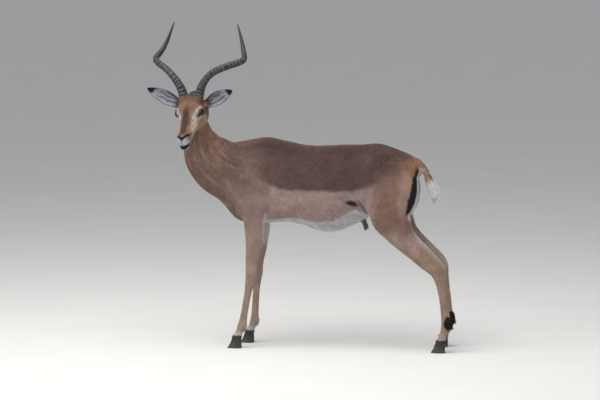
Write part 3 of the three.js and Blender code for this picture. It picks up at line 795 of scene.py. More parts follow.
# Along x, the saddle's lower and the belly's upper edge; by height, the stripe's |y| and buttock's x.
SADDLE_EDGE = [-330, -236, -201, -158, -115, 154, 233, 330, 430], [
    790, 729, 708, 695, 689, 689, 712, 775, 815
]
BELLY_EDGE = [-300, -201, -115, -71, -6, 59, 102, 137, 155, 200], [
    548, 558, 568, 563, 555, 558, 578, 600, 612, 590
]
STRIPE_SIDE = [560, 600, 650, 700, 740, 770, 800], [101, 98, 91, 80, 67, 51, 36]
BUTTOCK_EDGE = [560, 600, 650, 700, 760, 800], [358, 372, 380, 384, 390, 398]


class Paint:
    """Colours at points, over which each marking is mixed by its mask times how far the points take it."""

    def __init__(self, color, share=1.0):
        self.color, self.share = color, share

    def __call__(self, mask, shade):
        m = np.clip(mask * self.share, 0, 1)[:, None]
        self.color[:] = self.color * (1 - m) + np.array(shade[:3]) * m


class Places:
    """Points with what the markings ask: distance from the middle, two noises, share of each part."""

    def __init__(self, p, gap):
        self.p = p
        self.x, self.y, self.z = p.T
        self.side = np.abs(self.y)
        self.wander = noise(p, 26, 3) - 0.5
        self.fine = noise(p, 7, 5) - 0.5
        share = np.exp(-np.clip(gap - gap.min(0), 0, 200) / 7)
        self.on = dict(zip(PARTS, share / share.sum(0)))


def paint_body(paint, at, look):
    """Saddle over tan flank over white belly, painted shade before the stifle and along the flank's fold, and
    the sheath.
    """
    x, z, side, wander, fine, on = at.x, at.z, at.side, at.wander, at.fine, at.on
    body = (z > 380) & (x > -470)
    edge = np.interp(x, *SADDLE_EDGE)
    paint(smooth(22, -16, z - edge + wander * 12) * smooth(-290, -190, x) * body, look.flank)
    paint(smooth(190, 280, x + wander * 40) * smooth(470, 540, z) * body, look.rump)
    paint(smooth(-390, -340, x) * smooth(700, 640, z) * smooth(-150, -240, x) * 0.35, look.flank)
    soft = 9 + 34 * smooth(150, 330, x) + 22 * smooth(-150, -300, x)
    over = (z - edge + wander * 9 + fine * 4) / soft
    paint(smooth(-1, 1, over) * smooth(-340, -150, x) * smooth(470, 380, x), look.saddle)
    paint(smooth(800, 900, z) * smooth(-470, -250, x) * smooth(40, -20, z - 930) * 0.7, look.saddle)
    paint(smooth(800, 880, z) * smooth(-300, -200, x) * 0.32, look.dark)
    paint(smooth(330, 395, x + wander * 20) * smooth(600, 660, z) * smooth(835, 800, z) * 0.9, look.orange)
    paint(smooth(338, 366, x + wander * 14) * smooth(560, 600, z) * smooth(790, 740, z) * 0.5, look.flank)
    middle = np.maximum(smooth(-245, -215, x), smooth(62, 50, side) * smooth(-350, -300, x))
    middle = middle * (1 - (on["hind_left"] + on["hind_right"]) * smooth(62, 76, side))
    below = smooth(4, -4, z - np.interp(x, *BELLY_EDGE) + wander * 5 + fine * 4)
    paint(below * middle * smooth(300, 200, x) * body, look.white)
    # painted shade: a dark spot in the hollow before the stifle, and darker saddle colour along the flank's
    # fold
    spot = np.hypot((x - 144) / 2.0, z - 636 + 0.22 * (x - 144))
    paint(smooth(15, 10, spot + fine * 5), look.dark)
    fold = np.abs((x - 184) * 0.88 + (z - 630) * 0.48)
    paint(smooth(8, 3, fold) * smooth(560, 585, z) * smooth(655, 640, z) * 0.65 * (side > 60), look.saddle)
    hang = (
        smooth(26, 18, side) * smooth(166, 180, x + 0.4 * (z - 545)) * smooth(566, 552, z)
        * smooth(232, 216, x)
    )
    paint(hang * (1 - on["hind_left"]) * (1 - on["hind_right"]) * 0.85, look.sheath)
    paint(hang * smooth(526, 518, z) * 0.6, look.dark)


def paint_neck(paint, at, look):
    """Reddish neck with a shaded hollow before the shoulder, a white throat patch and fine streaks."""
    x, z, on = at.x, at.z, at.on
    hollow = np.hypot((x + 372 + 0.35 * (z - 800)) / 52, (z - 790) / 95)
    paint(smooth(1.3, 0.3, hollow) * 0.55, look.saddle)
    forward = smooth(-330, -470, x + 0.25 * (z - 800))
    paint(forward * smooth(740, 860, z) * 0.9 * (1 - on["trunk"] * 0.3) + on["head"], look.neck)
    _, along, across, ahead, _ = neck.measure(at.p)
    paint(on["neck"] * smooth(940, 990, z) * smooth(-4, -30, ahead + 0.3 * np.abs(across)), look.white)
    hairs = noise(np.column_stack([along / 14, np.arctan2(across, ahead) * 60]), 5.5, 21)
    paint(on["neck"] * smooth(0.62, 0.95, hairs) * 0.4, look.flank)
    paint(on["neck"] * smooth(0.38, 0.1, hairs) * 0.4, look.saddle)


def paint_legs(paint, at, look):
    """Tan legs, paler inside and over the hooves, with the black tufts behind the hind fetlocks."""
    x, z, fine = at.x, at.z, at.fine
    for name, leg in legs.items():
        on = at.on[name]
        hind = name.startswith("hind")
        lower = smooth(520, 380, z) if hind else smooth(600, 470, z)
        paint(on * lower, look.hind_shank if hind else look.fore_shank)
        spine = leg.centre[::-1]
        inwards = np.interp(z, spine[:, 2], np.abs(spine[:, 1])) - at.side
        behind = x - np.interp(z, spine[:, 2], spine[:, 0])
        if hind:
            inner = smooth(4, 14, inwards + fine * 6) * smooth(700, 620, z) * smooth(120, 300, z)
            depth = np.interp(z, spine[:, 2], leg.size[::-1, 2])
            # painted highlight: a pale line down the rear edge of the hind leg above the hock, mixed into the
            # pale inside
            rear_highlight = smooth(0.84, 0.95, behind / depth + inwards / depth * 0.25)
            rear_highlight = rear_highlight * smooth(640, 590, z) * smooth(300, 380, z) * 0.28
            inner = np.maximum(inner * (0.1 + 0.9 * smooth(550, 650, z)), rear_highlight)
        else:
            inner = (
                smooth(6, 14, inwards + 0.4 * behind + fine * 6) * smooth(620, 560, z) * smooth(400, 470, z)
            )
        # pale inside of the legs, and on the hind legs also the painted highlight along their rear edges
        paint(on * inner * 0.9, look.white)
        paint(on * smooth(84, 58, z + fine * 14) * (0.4 if hind else 0.7), look.white)
        paint(on * smooth(60, 50, z) * 0.6, look.dark)
        if hind:
            ball = np.hypot((z - 130) / 27, (behind - 15) / 17) + fine * 0.3
            paint(on * smooth(1.08, 0.9, ball), look.black)


def paint_rear(paint, at, look):
    """White buttocks between two black stripes, and the tail: tan root, black line beneath it, white brush.
    """
    x, z, side, fine, on = at.x, at.z, at.side, at.fine, at.on
    stripe = np.interp(z, *STRIPE_SIDE)
    rear = smooth(0, 14, x - np.interp(z, *BUTTOCK_EDGE))
    paint(
        rear * smooth(2, -6, side - stripe + fine * 3) * smooth(540, 590, z) * smooth(800, 775, z), look.white
    )
    band = np.abs(side - stripe - 2 + fine * 3) + 6.5 * smooth(660, 575, z)
    paint(rear * smooth(12, 8.5, band) * smooth(574, 604, z) * smooth(794, 772, z), look.black)
    down = tail_share(at.p)
    paint(on["tail"], look.orange)
    under = smooth(-2, 5, x - np.interp(z, tail.centre[::-1, 2], tail.centre[::-1, 0]))
    paint(on["tail"] * smooth(0.38, 0.52, down + 0.04 * fine), look.tail)
    paint(on["tail"] * smooth(5, 2, side - 2) * under * smooth(0.6, 0.35, down), look.black)


def paint_ears(paint, at, look):
    """Brown backs, pale cups with two dark streaks and a dark upper edge, and black tips and rims."""
    for s, name in ((1, "ear_left"), (-1, "ear_right")):
        on = at.on[name]
        t, v, lift, _, _ = ear_measure(at.p, s)
        inside = smooth(-0.5, 0.8, lift)
        paint(on, look.crown)
        # pale hair of the cup, given the grey-blue of skylit shade as painted shade
        paint(on * inside * smooth(1.0, 0.84, np.abs(v)), look.ear)
        paint(on * inside * smooth(0.3, 0.1, t) * 0.6, look.crown)
        bent = v + 0.7 * (noise(at.p, 19, 31) - 0.5)
        streak = np.minimum(np.abs(bent - 0.36 + 0.1 * t), np.abs(bent + 0.34 + 0.1 * t))
        streak = streak / (0.07 + 0.2 * noise(at.p, 13, 33))
        length = smooth(0.08, 0.24, t) * smooth(0.8, 0.6, t) * 0.75
        paint(on * inside * smooth(1, 0.3, streak) * length, look.dark)
        paint(on * inside * smooth(-0.5, -0.85, v) * smooth(0.62, 0.4, t + 0.3 * at.fine) * 0.8, look.dark)
        # darker base of the cup: partly dark hair, partly painted shade where the ear meets the head
        paint(on * inside * smooth(0.22, 0.1, t + 0.1 * at.fine) * 0.7, look.dark)
        paint(on * smooth(0.78, 0.86, t + 0.05 * at.fine - 0.05 * v), look.black)
        paint(on * smooth(0.16, 0.06, np.abs(np.abs(v) - 1)) * smooth(0.4, 0.7, t) * 0.8, look.black)


def paint_face(paint, h, wander, fine, look):
    """The head in its own frame: tan, with dark bridge, pale cheeks and lips, black nose and mouth, painted
    light on cheek and jaw.
    """
    hx, hy, hz = h.T
    ax = np.abs(hx)
    paint(np.ones(len(h)), look.face)
    paint(smooth(40, 5, hy) * smooth(-80, -50, hz), look.crown)
    paint(smooth(16, -8, hy + fine * 8) * 0.6, look.streak)
    # pale tan cheeks, in a colour lightened to stand for a painted highlight
    pale_cheek_and_highlight = smooth(20, 31, ax + fine * 6) * smooth(72, 100, hy) * smooth(176, 150, hy) * smooth(-70, -50, hz)
    paint(pale_cheek_and_highlight * 0.9, look.pale_cheek_and_highlight)
    # painted highlight on the side of the jaw
    paint(smooth(-52, -66, hz + fine * 6) * smooth(30, 60, hy) * 0.55, look.pale_cheek_and_highlight)
    # painted light: an orange stripe along the edge of the jaw
    jaw_edge_light = smooth(-60, -74, hz) * smooth(55, 80, hy) * smooth(120, 95, hy) * smooth(-112, -96, hz)
    paint(jaw_edge_light * 0.8, look.orange)
    paint(smooth(-66, -90, hz + fine * 8) * smooth(95, 130, hy), look.white)
    paint(smooth(-96, -112, hz + fine * 8) * smooth(30, 60, hy), look.white)
    wide = np.interp(hy, [20, 60, 110, 150, 185], [4, 8, 11, 12, 9])
    bridge = smooth(9, -4, ax - wide + wander * 7 + fine * 3) * smooth(22, 90, hy) * smooth(192, 172, hy)
    paint(bridge * 0.92, look.streak)
    for s in (-1, 1):
        paint_eye(paint, h, fine, s, look)
    pale = smooth(190, 201, hy + fine * 4 - 0.25 * ax) + smooth(-40, -52, hz) * smooth(140, 170, hy)
    paint(pale, look.pale)
    for s in (-1, 1):
        paint(smooth(7.2, 5.2, nostril(h, s) + fine) * smooth(-34, -28, hz), look.black)
    paint(smooth(9, 6, np.hypot(hx / 1.1, hy - 202)) * (hz > -24), look.black)
    paint(smooth(3, 2, ax) * smooth(200, 205, hy) * (hz > -38) * 0.6, look.black)
    below = under_lip(h)
    lip = 3 + 12.5 * smooth(194, 208, hy) * smooth(27, 15, ax)
    paint(
        smooth(-4, -2, below + fine) * smooth(lip + 1.5, lip - 1.5, below) * smooth(184, 198, hy), look.black
    )
    paint(smooth(9, 4, np.hypot(hx, hy + 6)) * (hz > -40) * 0.6, look.dark)


def paint_eye(paint, h, fine, s, look):
    """Pale arc over one eye, pale patch under it, dark gland before it, dark outer corner and black lids."""
    _, ring, front = eye_measure(h, s)
    centre, outlook, inner, brow = eye_axes(s)
    q = h - centre
    along, rise = q @ inner, q @ brow
    near_eye = q @ outlook > -18
    arc = np.abs(np.hypot(along / 33, rise / 22) - 1.0) * 21
    upper = smooth(-3, 6, rise - 0.1 * along) * smooth(-34, -20, along) * smooth(44, 26, along)
    paint(smooth(4.8, 2.0, arc + fine * 3) * upper * near_eye * 0.85, look.pale)
    under = smooth(-4, -9, rise) * smooth(-6, 6, along) * smooth(48, 34, along)
    low = np.abs(rise + 15 + 0.05 * along)
    paint(smooth(11, 4, low + fine * 3) * under * 0.75 * near_eye, look.pale)
    gland = segment(h, centre + inner * 14 + outlook * 11, centre + inner * 54 + brow * 2)
    paint(smooth(6.6, 3.6, gland + fine * 3 + 2.2 * smooth(20, 50, along)), look.dark)
    corner = segment(h, centre - inner * 12 + outlook * 12, centre - inner * 30 - brow * 1 + outlook * 4)
    paint(smooth(8.4, 4.8, corner + fine * 3), look.dark)
    paint(smooth(1.65, 1.35, ring + fine * 0.2) * (front > -6), look.black)


def markings(p, gap, look):
    """Colour of the coat at each point: a ground colour, with every marking mixed over it by its mask."""
    at = Places(p, gap)
    color = np.tile(np.array(look.shoulder[:3]), (len(p), 1))
    for part in (paint_body, paint_neck, paint_legs, paint_rear, paint_ears):
        part(Paint(color), at, look)
    near = at.on["head"] > 0.01
    face = Paint(color[near], at.on["head"][near])
    paint_face(face, to_head(p[near]), at.wander[near], at.fine[near], look)
    color[near] = face.color
    shade = 1 + 0.16 * at.wander + 0.12 * at.fine
    return np.clip(color * shade[:, None], 0.004, 0.95)


def tail_share(p):
    """Share of the tail's length at which each point lies."""
    return tail.measure(p)[4]


# ------------------------------------------------------------------ meshes and materials


def mesh_object(
    name, points, faces, material, color=None, vectors=None, uv=None, smooth_faces=True
):
    """A mesh from points and equal-sided faces, with its colours, vectors and unwrapping."""
    mesh = bpy.data.meshes.new(name)
    count, sides = faces.shape
    mesh.vertices.add(len(points))
    mesh.vertices.foreach_set("co", np.ascontiguousarray(points, np.float32).ravel())
    mesh.loops.add(count * sides)
    mesh.loops.foreach_set("vertex_index", np.ascontiguousarray(faces, np.int32).ravel())
    mesh.polygons.add(count)
    mesh.polygons.foreach_set("loop_start", np.arange(0, count * sides, sides, dtype=np.int32))
    mesh.update(calc_edges=True)
    mesh.polygons.foreach_set("use_smooth", np.full(count, smooth_faces))
    if color is not None:
        layer = mesh.color_attributes.new("marking", "FLOAT_COLOR", "POINT")
        opaque = np.column_stack([color, np.ones(len(color))])
        layer.data.foreach_set("color", opaque.astype(np.float32).ravel())
    for key, value in (vectors or {}).items():
        layer = mesh.attributes.new(key, "FLOAT_VECTOR", "POINT")
        layer.data.foreach_set("vector", np.ascontiguousarray(value, np.float32).ravel())
    if uv is not None:
        layer = mesh.uv_layers.new(name="OFBake")
        layer.data.foreach_set("uv", np.ascontiguousarray(uv[faces.ravel()], np.float32).ravel())
    mesh.materials.append(material)
    piece = link(name, mesh)
    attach(piece, "root")
    return piece


class Wiring:
    """Adds nodes to one material or group and joins them up."""

    def __init__(self, tree):
        self.tree = tree

    def feed(self, sockets, values):
        """Each value goes to the socket of its key: joined to it if it is another node's, else set on it."""
        for key, value in values.items():
            if isinstance(value, bpy.types.NodeSocket):
                self.tree.links.new(value, sockets[key])
            else:
                sockets[key].default_value = value

    def add(self, kind, inputs=None, **settings):
        node = self.tree.nodes.new(kind)
        for key, value in settings.items():
            setattr(node, key, value)
        self.feed(node.inputs, inputs or {})
        return node

    def math(self, operation, a, b=0.0, clamp=False):
        return self.add("ShaderNodeMath", {0: a, 1: b}, operation=operation, use_clamp=clamp).outputs[0]

    def mix(self, factor, a, b, blend="MIX"):
        inputs = {0: factor, 6: a, 7: b}
        return self.add("ShaderNodeMix", inputs, data_type="RGBA", blend_type=blend).outputs[2]

    def spread(self, value, low, high, to_low=0.0, to_high=1.0):
        return self.add("ShaderNodeMapRange", {0: value, 1: low, 2: high, 3: to_low, 4: to_high}).outputs[0]

    def noise(self, vector, scale, detail, roughness=0.5):
        inputs = {"Vector": vector, "Scale": scale, "Detail": detail, "Roughness": roughness}
        return self.add("ShaderNodeTexNoise", inputs).outputs["Fac"]

    def vector_math(self, operation, a, b=(0.0, 0.0, 0.0)):
        return self.add("ShaderNodeVectorMath", {0: a, 1: b}, operation=operation).outputs

    def vector(self, x, y, z):
        return self.add("ShaderNodeCombineXYZ", {0: x, 1: y, 2: z}).outputs[0]

    def given(self, name, kind="Vector"):
        """What the mesh holds at each point under this name."""
        return self.add("ShaderNodeAttribute", attribute_name=name).outputs[kind]

    def place(self):
        return self.add("ShaderNodeTexCoord").outputs["Object"]


def group(name, inputs):
    """A new group that puts out colour, height and roughness: its wiring, its inputs and its outputs."""
    tree = bpy.data.node_groups.new(name, "ShaderNodeTree")
    for label, kind, value in inputs:
        socket = tree.interface.new_socket(label, in_out="INPUT", socket_type=f"NodeSocket{kind}")
        if value is not None:
            socket.default_value = value
    for label, kind in (("Color", "Color"), ("Height", "Float"), ("Roughness", "Float")):
        tree.interface.new_socket(label, in_out="OUTPUT", socket_type=f"NodeSocket{kind}")
    wiring = Wiring(tree)
    return wiring, wiring.add("NodeGroupInput").outputs, wiring.add("NodeGroupOutput").inputs


def hair_grain():
    """Fine streaks along the lie of the hair: noise on the grain coordinate, which is drawn out along it."""
    if "Hair Grain" in bpy.data.node_groups:
        return bpy.data.node_groups["Hair Grain"]
    inputs = [("Color", "Color", (0.5, 0.4, 0.3, 1)), ("Grain", "Vector", None), ("Place", "Vector", None)]
    w, given, out = group("Hair Grain", [*inputs, ("Streaks", "Float", 0.35)])
    streak = w.noise(given["Grain"], 1.0, 3.0, 0.6)
    dark = w.math("SUBTRACT", 1.0, w.math("MULTIPLY", given["Streaks"], w.spread(streak, 0.62, 0.36)))
    light = w.spread(w.noise(given["Place"], 22.0, 4.0, 0.62), 0.3, 0.7, 0.86, 1.12)
    value = w.math("MULTIPLY", dark, light)
    color = w.mix(1.0, given["Color"], w.vector(value, value, value), "MULTIPLY")
    w.feed(out, {"Color": color, "Height": streak, "Roughness": w.spread(streak, 0.3, 0.7, 0.86, 0.66)})
    return w.tree


def keratin_grain():
    """Fibres along horn or hoof, grime in the hollows and pale wear on what stands out."""
    if "Keratin Grain" in bpy.data.node_groups:
        return bpy.data.node_groups["Keratin Grain"]
    inputs = [("Deep", "Color", (0.02, 0.02, 0.02, 1)), ("Worn", "Color", (0.2, 0.18, 0.17, 1))]
    w, given, out = group("Keratin Grain", [*inputs, ("Fibre", "Vector", None), ("Wear", "Float", 0.5)])
    fibre = w.noise(given["Fibre"], 1.0, 5.0, 0.65)
    patch = w.noise(w.place(), 55.0, 5.0, 0.6)
    worn = w.math("ADD", w.math("MULTIPLY", given["Wear"], 0.75), w.spread(fibre, 0.3, 0.7, -0.3, 0.3))
    worn = w.math("ADD", worn, w.spread(patch, 0.35, 0.65, -0.22, 0.22), clamp=True)
    color = w.mix(worn, given["Deep"], given["Worn"])
    w.feed(out, {"Color": color, "Height": fibre, "Roughness": w.spread(patch, 0.3, 0.7, 0.42, 0.66)})
    return w.tree


def material(name):
    """A new material, the wiring inside it and the inputs of its shader."""
    made = bpy.data.materials.new(name)
    made.use_nodes = True
    return made, Wiring(made.node_tree), made.node_tree.nodes["Principled BSDF"].inputs


def grained(w, shader, grain, inputs, strength, distance):
    """The group's colour and roughness go to the shader, and its height as a bump."""
    effect = w.add("ShaderNodeGroup", node_tree=grain)
    w.feed(effect.inputs, inputs)
    made = effect.outputs
    lift = w.add("ShaderNodeBump", {"Strength": strength, "Distance": distance, "Height": made["Height"]})
    w.feed(shader, {"Base Color": made["Color"], "Roughness": made["Roughness"], "Normal": lift.outputs[0]})


def coat_material(name, streaks, bump, scale):
    """Hair: the marking colours with grain, a soft sheen and a bump along the lie."""
    made, w, shader = material(name)
    grain = w.vector_math("MULTIPLY", w.given("grain"), (scale, scale, scale))[0]
    inputs = {"Color": w.given("marking", "Color"), "Grain": grain, "Place": w.place(), "Streaks": streaks}
    grained(w, shader, hair_grain(), inputs, bump, 0.0012)
    w.feed(shader, {"Specular IOR Level": 0.22, "Sheen Weight": 0.12, "Sheen Roughness": 0.45})
    return made


def keratin_material(name, deep, worn, fibre_size, wear_from, wear_by):
    """Horn or hoof. Facts: position along the growth, angle or share round it, and how far it stands out."""
    made, w, shader = material(name)
    facts = w.given("local")
    part = w.add("ShaderNodeSeparateXYZ", {0: facts}).outputs
    inputs = {
        "Fibre": w.vector_math("MULTIPLY", facts, fibre_size)[0],
        "Wear": w.spread(part[wear_from], *wear_by),
        "Deep": (*deep[:3], 1),
        "Worn": (*worn[:3], 1),
    }
    grained(w, shader, keratin_grain(), inputs, 0.5, 0.0008)
    return made


def eye_material(look):
    """Wet dark eye: near-black brown iris with fine spokes and a level oval pupil, its edge darker still."""
    made, w, shader = material("Dark Eye")
    local = w.given("local")
    x, y, _ = w.add("ShaderNodeSeparateXYZ", {0: local}).outputs
    pupil = w.vector_math("LENGTH", w.vector(w.math("MULTIPLY", x, 0.62), y, 0.0))["Value"]
    rim = w.vector_math("LENGTH", w.vector(x, y, 0.0))["Value"]
    deep = look.iris[:3]
    iris = w.mix(w.spread(w.noise(local, 9.0, 4.0), 0.35, 0.65), (*deep, 1), (*[c * 2.2 for c in deep], 1))
    color = w.mix(w.spread(pupil, 0.24, 0.3), (0.002, 0.002, 0.003, 1), iris)
    color = w.mix(w.spread(rim, 0.62, 0.72), color, (0.012, 0.008, 0.007, 1))
    w.feed(shader, {"Base Color": color, "Roughness": 0.09, "Specular IOR Level": 0.42})
    return made


# ------------------------------------------------------------------ skin

NECK_SLOPE, NECK_HEIGHT = 0.8, 949  # the plane on which body and head meshes join, and its height at y = 0
NECK_PLANE = np.array([0.0, -NECK_SLOPE, 1.0]) / math.hypot(NECK_SLOPE, 1)
NECK_LEVEL = NECK_HEIGHT / math.hypot(NECK_SLOPE, 1)
JOIN = 2.6  # half the gap that the joining strip closes


def cut_surface(points, quads, keep_above, level):
    """The part of a surface on one side of the neck plane, cut flat along it."""
    height = points @ NECK_PLANE - level
    reach = 30
    side = height > -reach if keep_above else height < reach
    quads = quads[side[quads].all(1)]
    used, index = np.unique(quads, return_inverse=True)
    built = bmesh.new()
    mesh = bpy.data.meshes.new("cut")
    mesh.from_pydata(points[used].tolist(), [], index.reshape(-1, 4).tolist())
    built.from_mesh(mesh)
    bpy.data.meshes.remove(mesh)
    everything = built.verts[:] + built.edges[:] + built.faces[:]
    bmesh.ops.bisect_plane(
        built,
        geom=everything,
        plane_co=Vector(NECK_PLANE * level),
        plane_no=Vector(NECK_PLANE),
        clear_inner=keep_above,
        clear_outer=not keep_above,
        dist=0.02,
    )
    return built


def largest_part(points, faces):
    """The faces of the largest joined-up part of a surface."""
    label = np.arange(len(points))
    while True:
        low = label[faces].min(1)
        new = label.copy()
        np.minimum.at(new, faces.ravel(), np.repeat(low, faces.shape[1]))
        new = new[new]
        if (new == label).all():
            break
        label = new
    names, counts = np.unique(label[faces[:, 0]], return_counts=True)
    faces = faces[label[faces[:, 0]] == names[counts.argmax()]]
    used, index = np.unique(faces, return_inverse=True)
    return points[used], index.reshape(faces.shape)


def make_skin(body_step, head_step):
    """One closed skin in millimetres: its points and triangles."""
    body = level_surface(*BODY_SPACE, body_step)
    top = level_surface(*HEAD_SPACE, head_step)
    body = largest_part(*body)
    top = largest_part(*top)
    low_part = cut_surface(*body, False, NECK_LEVEL - JOIN)
    high_part = cut_surface(*top, True, NECK_LEVEL + JOIN)
    mesh = bpy.data.meshes.new("joined")
    high_part.to_mesh(mesh)
    low_part.from_mesh(mesh)
    bpy.data.meshes.remove(mesh)
    high_part.free()
    loose = [e for e in low_part.edges if e.is_boundary]
    bmesh.ops.bridge_loops(low_part, edges=loose)
    bmesh.ops.recalc_face_normals(low_part, faces=low_part.faces[:])
    refine_face(low_part)
    bmesh.ops.triangulate(low_part, faces=low_part.faces[:])
    low_part.verts.index_update()
    points = np.array([v.co[:] for v in low_part.verts])
    faces = np.array([[v.index for v in f.verts] for f in low_part.faces])
    low_part.free()
    points = settle(points, 2)
    a, b, c = points[faces].transpose(1, 0, 2)
    if np.einsum("ij,ij->", a, np.cross(b, c)) < 0:
        faces = faces[:, ::-1]
    return points, faces


def refine_face(built):
    """Splits the edges round the eyes, nostrils and lips in half."""
    points = np.array([v.co[:] for v in built.verts])
    h = to_head(points)
    fine = (h[:, 1] > 166) & (np.abs(h[:, 0]) < 40) & (np.abs(h[:, 2] + 34) < 44)
    for s in (-1, 1):
        fine |= eye_measure(h, s)[0] < 27
    edges = [e for e in built.edges if fine[e.verts[0].index] and fine[e.verts[1].index]]
    bmesh.ops.subdivide_edges(built, edges=edges, cuts=1, use_grid_fill=True)


def vertex_normals(points, faces):
    """Normals at the points: the sum of the area-weighted normals of the faces round each."""
    a, b, c = points[faces].transpose(1, 0, 2)
    flat = np.cross(b - a, c - a)
    total = np.zeros_like(points)
    for k in range(3):
        for axis in range(3):
            total[:, axis] += np.bincount(faces[:, k], flat[:, axis], minlength=len(points))
    return unit(total), np.linalg.norm(flat, axis=1) / 2


# ------------------------------------------------------------------ coat

# For each part: length and width of a tuft, its angle in degrees, and the skin area for one.
FUR = {
    "trunk": (12.0, 1.7, 9, 5.0),
    "neck": (10.0, 1.45, 8, 4.75),
    "head": (5.0, 1.0, 10, 2.9),
    "fore_left": (7.5, 1.3, 9, 4.2),
    "fore_right": (7.5, 1.3, 9, 4.2),
    "hind_left": (8.5, 1.4, 9, 4.6),
    "hind_right": (8.5, 1.4, 9, 4.6),
    "tail": (17.0, 1.5, 14, 2.0),
    "ear_left": (5.0, 0.8, 12, 2.6),
    "ear_right": (5.0, 0.8, 12, 2.6),
}
COAT_PIECES = {
    "coat_head": ["head", "ear_left", "ear_right"],
    "coat_neck": ["neck"],
    "coat_trunk": ["trunk"],
    "coat_forelegs": ["fore_left", "fore_right"],
    "coat_hind_left": ["hind_left"],
    "coat_hind_right": ["hind_right"],
    "coat_tail": ["tail"],
}
PATCH = 0.003
MOST_TUFTS = 48000


def charts(parts, chart, part):
    """Unwrapping of a piece: a column for each of its parts, the share along it up, the angle across."""
    uv = np.zeros((len(part), 2))
    for i, name in enumerate(parts):
        here = part == PARTS.index(name)
        uv[here, 0] = (i + 0.01 + 0.97 * np.clip(chart[here, 1], 0, 1)) / len(parts)
        uv[here, 1] = 0.01 + 0.97 * np.clip(chart[here, 0], 0, 1)
    return uv


def tuft_shapes(root, normal, lie, length, width, lift, color, uv, rng):
    """Closed spears of four triangles: two root corners sunk in the skin, a ridge a third of the way on and
    a tip.

    The tip lies at root + length * (lie * cos lift + normal * sin lift).
    """
    across = np.cross(normal, lie)
    out = lie * np.cos(lift)[:, None] + normal * np.sin(lift)[:, None]
    w, n = width[:, None] / 2, len(root)
    sunk = root - normal * 0.35
    thick = 0.32 * width[:, None]
    points = np.stack(
        [
            sunk - across * w,
            sunk + across * w,
            root + out * length[:, None] * 0.36 + normal * thick,
            root + out * length[:, None] - across * (rng.random((n, 1)) - 0.5) * w,
        ],
        1,
    )
    faces = np.array([[0, 2, 1], [0, 3, 2], [1, 2, 3], [0, 1, 3]])
    faces = (np.arange(n)[:, None, None] * 4 + faces).reshape(-1, 3)
    tones = np.array([0.8, 0.8, 1.0, 1.12])
    colors = np.clip(color[:, None, :] * tones[:, None], 0, 1)
    corner = np.array([[-0.5, -0.5], [0.5, -0.5], [0, 0], [0, 0.5]]) * PATCH
    return points.reshape(-1, 3), faces, colors.reshape(-1, 3), (uv[:, None] + corner).reshape(-1, 2)


def lock_shapes(root, way, droop, side, length, width, color, uv, rings=4):
    """Long locks: a three-sided tapered strand along root + way * s + droop * s^2, closed at both ends."""
    n = len(root)
    s = np.linspace(0, 1, rings + 1)
    spine = root[:, None] + length[:, None, None] * (
        way[:, None] * s[:, None] + droop[:, None] * (s * s)[:, None]
    )
    spine[:, 0] -= way * 1.2
    along = unit(np.gradient(spine, axis=1))
    across = np.broadcast_to(side[:, None], spine.shape)
    across = unit(across - along * (across * along).sum(-1, keepdims=True))
    up = np.cross(along, across)
    taper = np.sin(np.pi * np.clip(0.22 + 0.78 * s[:-1], 0, 1)) ** 0.7
    half = (width[:, None] / 2 * taper)[..., None]
    ring = [
        spine[:, :-1] + across[:, :-1] * half * a + up[:, :-1] * half * b
        for a, b in ((-1, 0), (1, 0), (0, 0.7))
    ]
    points = np.concatenate([np.stack(ring, 2).reshape(n, -1, 3), spine[:, -1:]], 1)
    faces = [[0, 1, 2]]
    for i in range(rings - 1):
        for a, b in ((0, 1), (1, 2), (2, 0)):
            p, q = 3 * i + a, 3 * i + b
            faces += [[p, p + 3, q + 3], [p, q + 3, q]]
    tip = 3 * rings
    faces += [[tip - 3, tip, tip - 2], [tip - 2, tip, tip - 1], [tip - 1, tip, tip - 3]]
    size = points.shape[1]
    faces = (np.arange(n)[:, None, None] * size + np.array(faces)).reshape(-1, 3)
    tone = np.append(np.repeat(0.82 + 0.2 * s[:-1], 3), 1.08)
    colors = np.clip(color[:, None, :] * tone[:, None], 0, 1)
    place = np.append(np.repeat(s[:-1], 3), 1) - 0.5
    patch = np.stack([np.append(np.tile([-0.5, 0.5, 0], rings), 0), place], 1) * PATCH
    return points.reshape(-1, 3), faces, colors.reshape(-1, 3), (uv[:, None] + patch).reshape(-1, 2)


class Bundle:
    """Gathers shapes that become one mesh."""

    def __init__(self):
        self.points, self.faces, self.colors, self.uv, self.count = [], [], [], [], 0

    def add(self, points, faces, colors, uv):
        self.points.append(points)
        self.faces.append(faces + self.count)
        self.colors.append(colors)
        self.uv.append(uv)
        self.count += len(points)

    def build(self, name, finish):
        points = np.concatenate(self.points)
        return mesh_object(
            name,
            to_row(points),
            np.concatenate(self.faces),
            finish,
            np.concatenate(self.colors),
            {"grain": points},
            np.concatenate(self.uv),
            smooth_faces=False,
        )


class Hide:
    """The skin with what the coat needs at each of its points."""

    def __init__(self, points, faces, look):
        self.points, self.faces = points, faces
        self.normal, self.area = vertex_normals(points, faces)
        self.part, self.lie, self.grain, self.chart, self.gap = anatomy(points)
        self.color = markings(points, self.gap, look)
        self.face_part = self.part[faces[:, 0]]

    def scatter(self, wanted, rng):
        """Random places on the faces, so many to each: face, and shares of its three corners."""
        number = np.floor(wanted + rng.random(len(wanted))).astype(int)
        face = np.repeat(np.arange(len(wanted)), number)
        a, b = rng.random((2, len(face)))
        flip = a + b > 1
        a[flip], b[flip] = 1 - a[flip], 1 - b[flip]
        return face, np.column_stack([1 - a - b, a, b])

    def at(self, values, face, shares):
        return np.einsum("nk,nkj->nj", shares, values[self.faces[face]])

    def roots(self, face, shares, names):
        """Place, normal, lie, colour and unwrapping at the roots of tufts or locks."""
        normal = unit(self.at(self.normal, face, shares))
        lie = self.at(self.lie, face, shares)
        lie = unit(lie - normal * (lie * normal).sum(1, keepdims=True))
        part = self.face_part[face]
        corner = self.faces[face, 0]
        return self.at(self.points, face, shares), normal, lie, self.at(self.color, face, shares), charts(
            names, self.chart[corner], part
        )


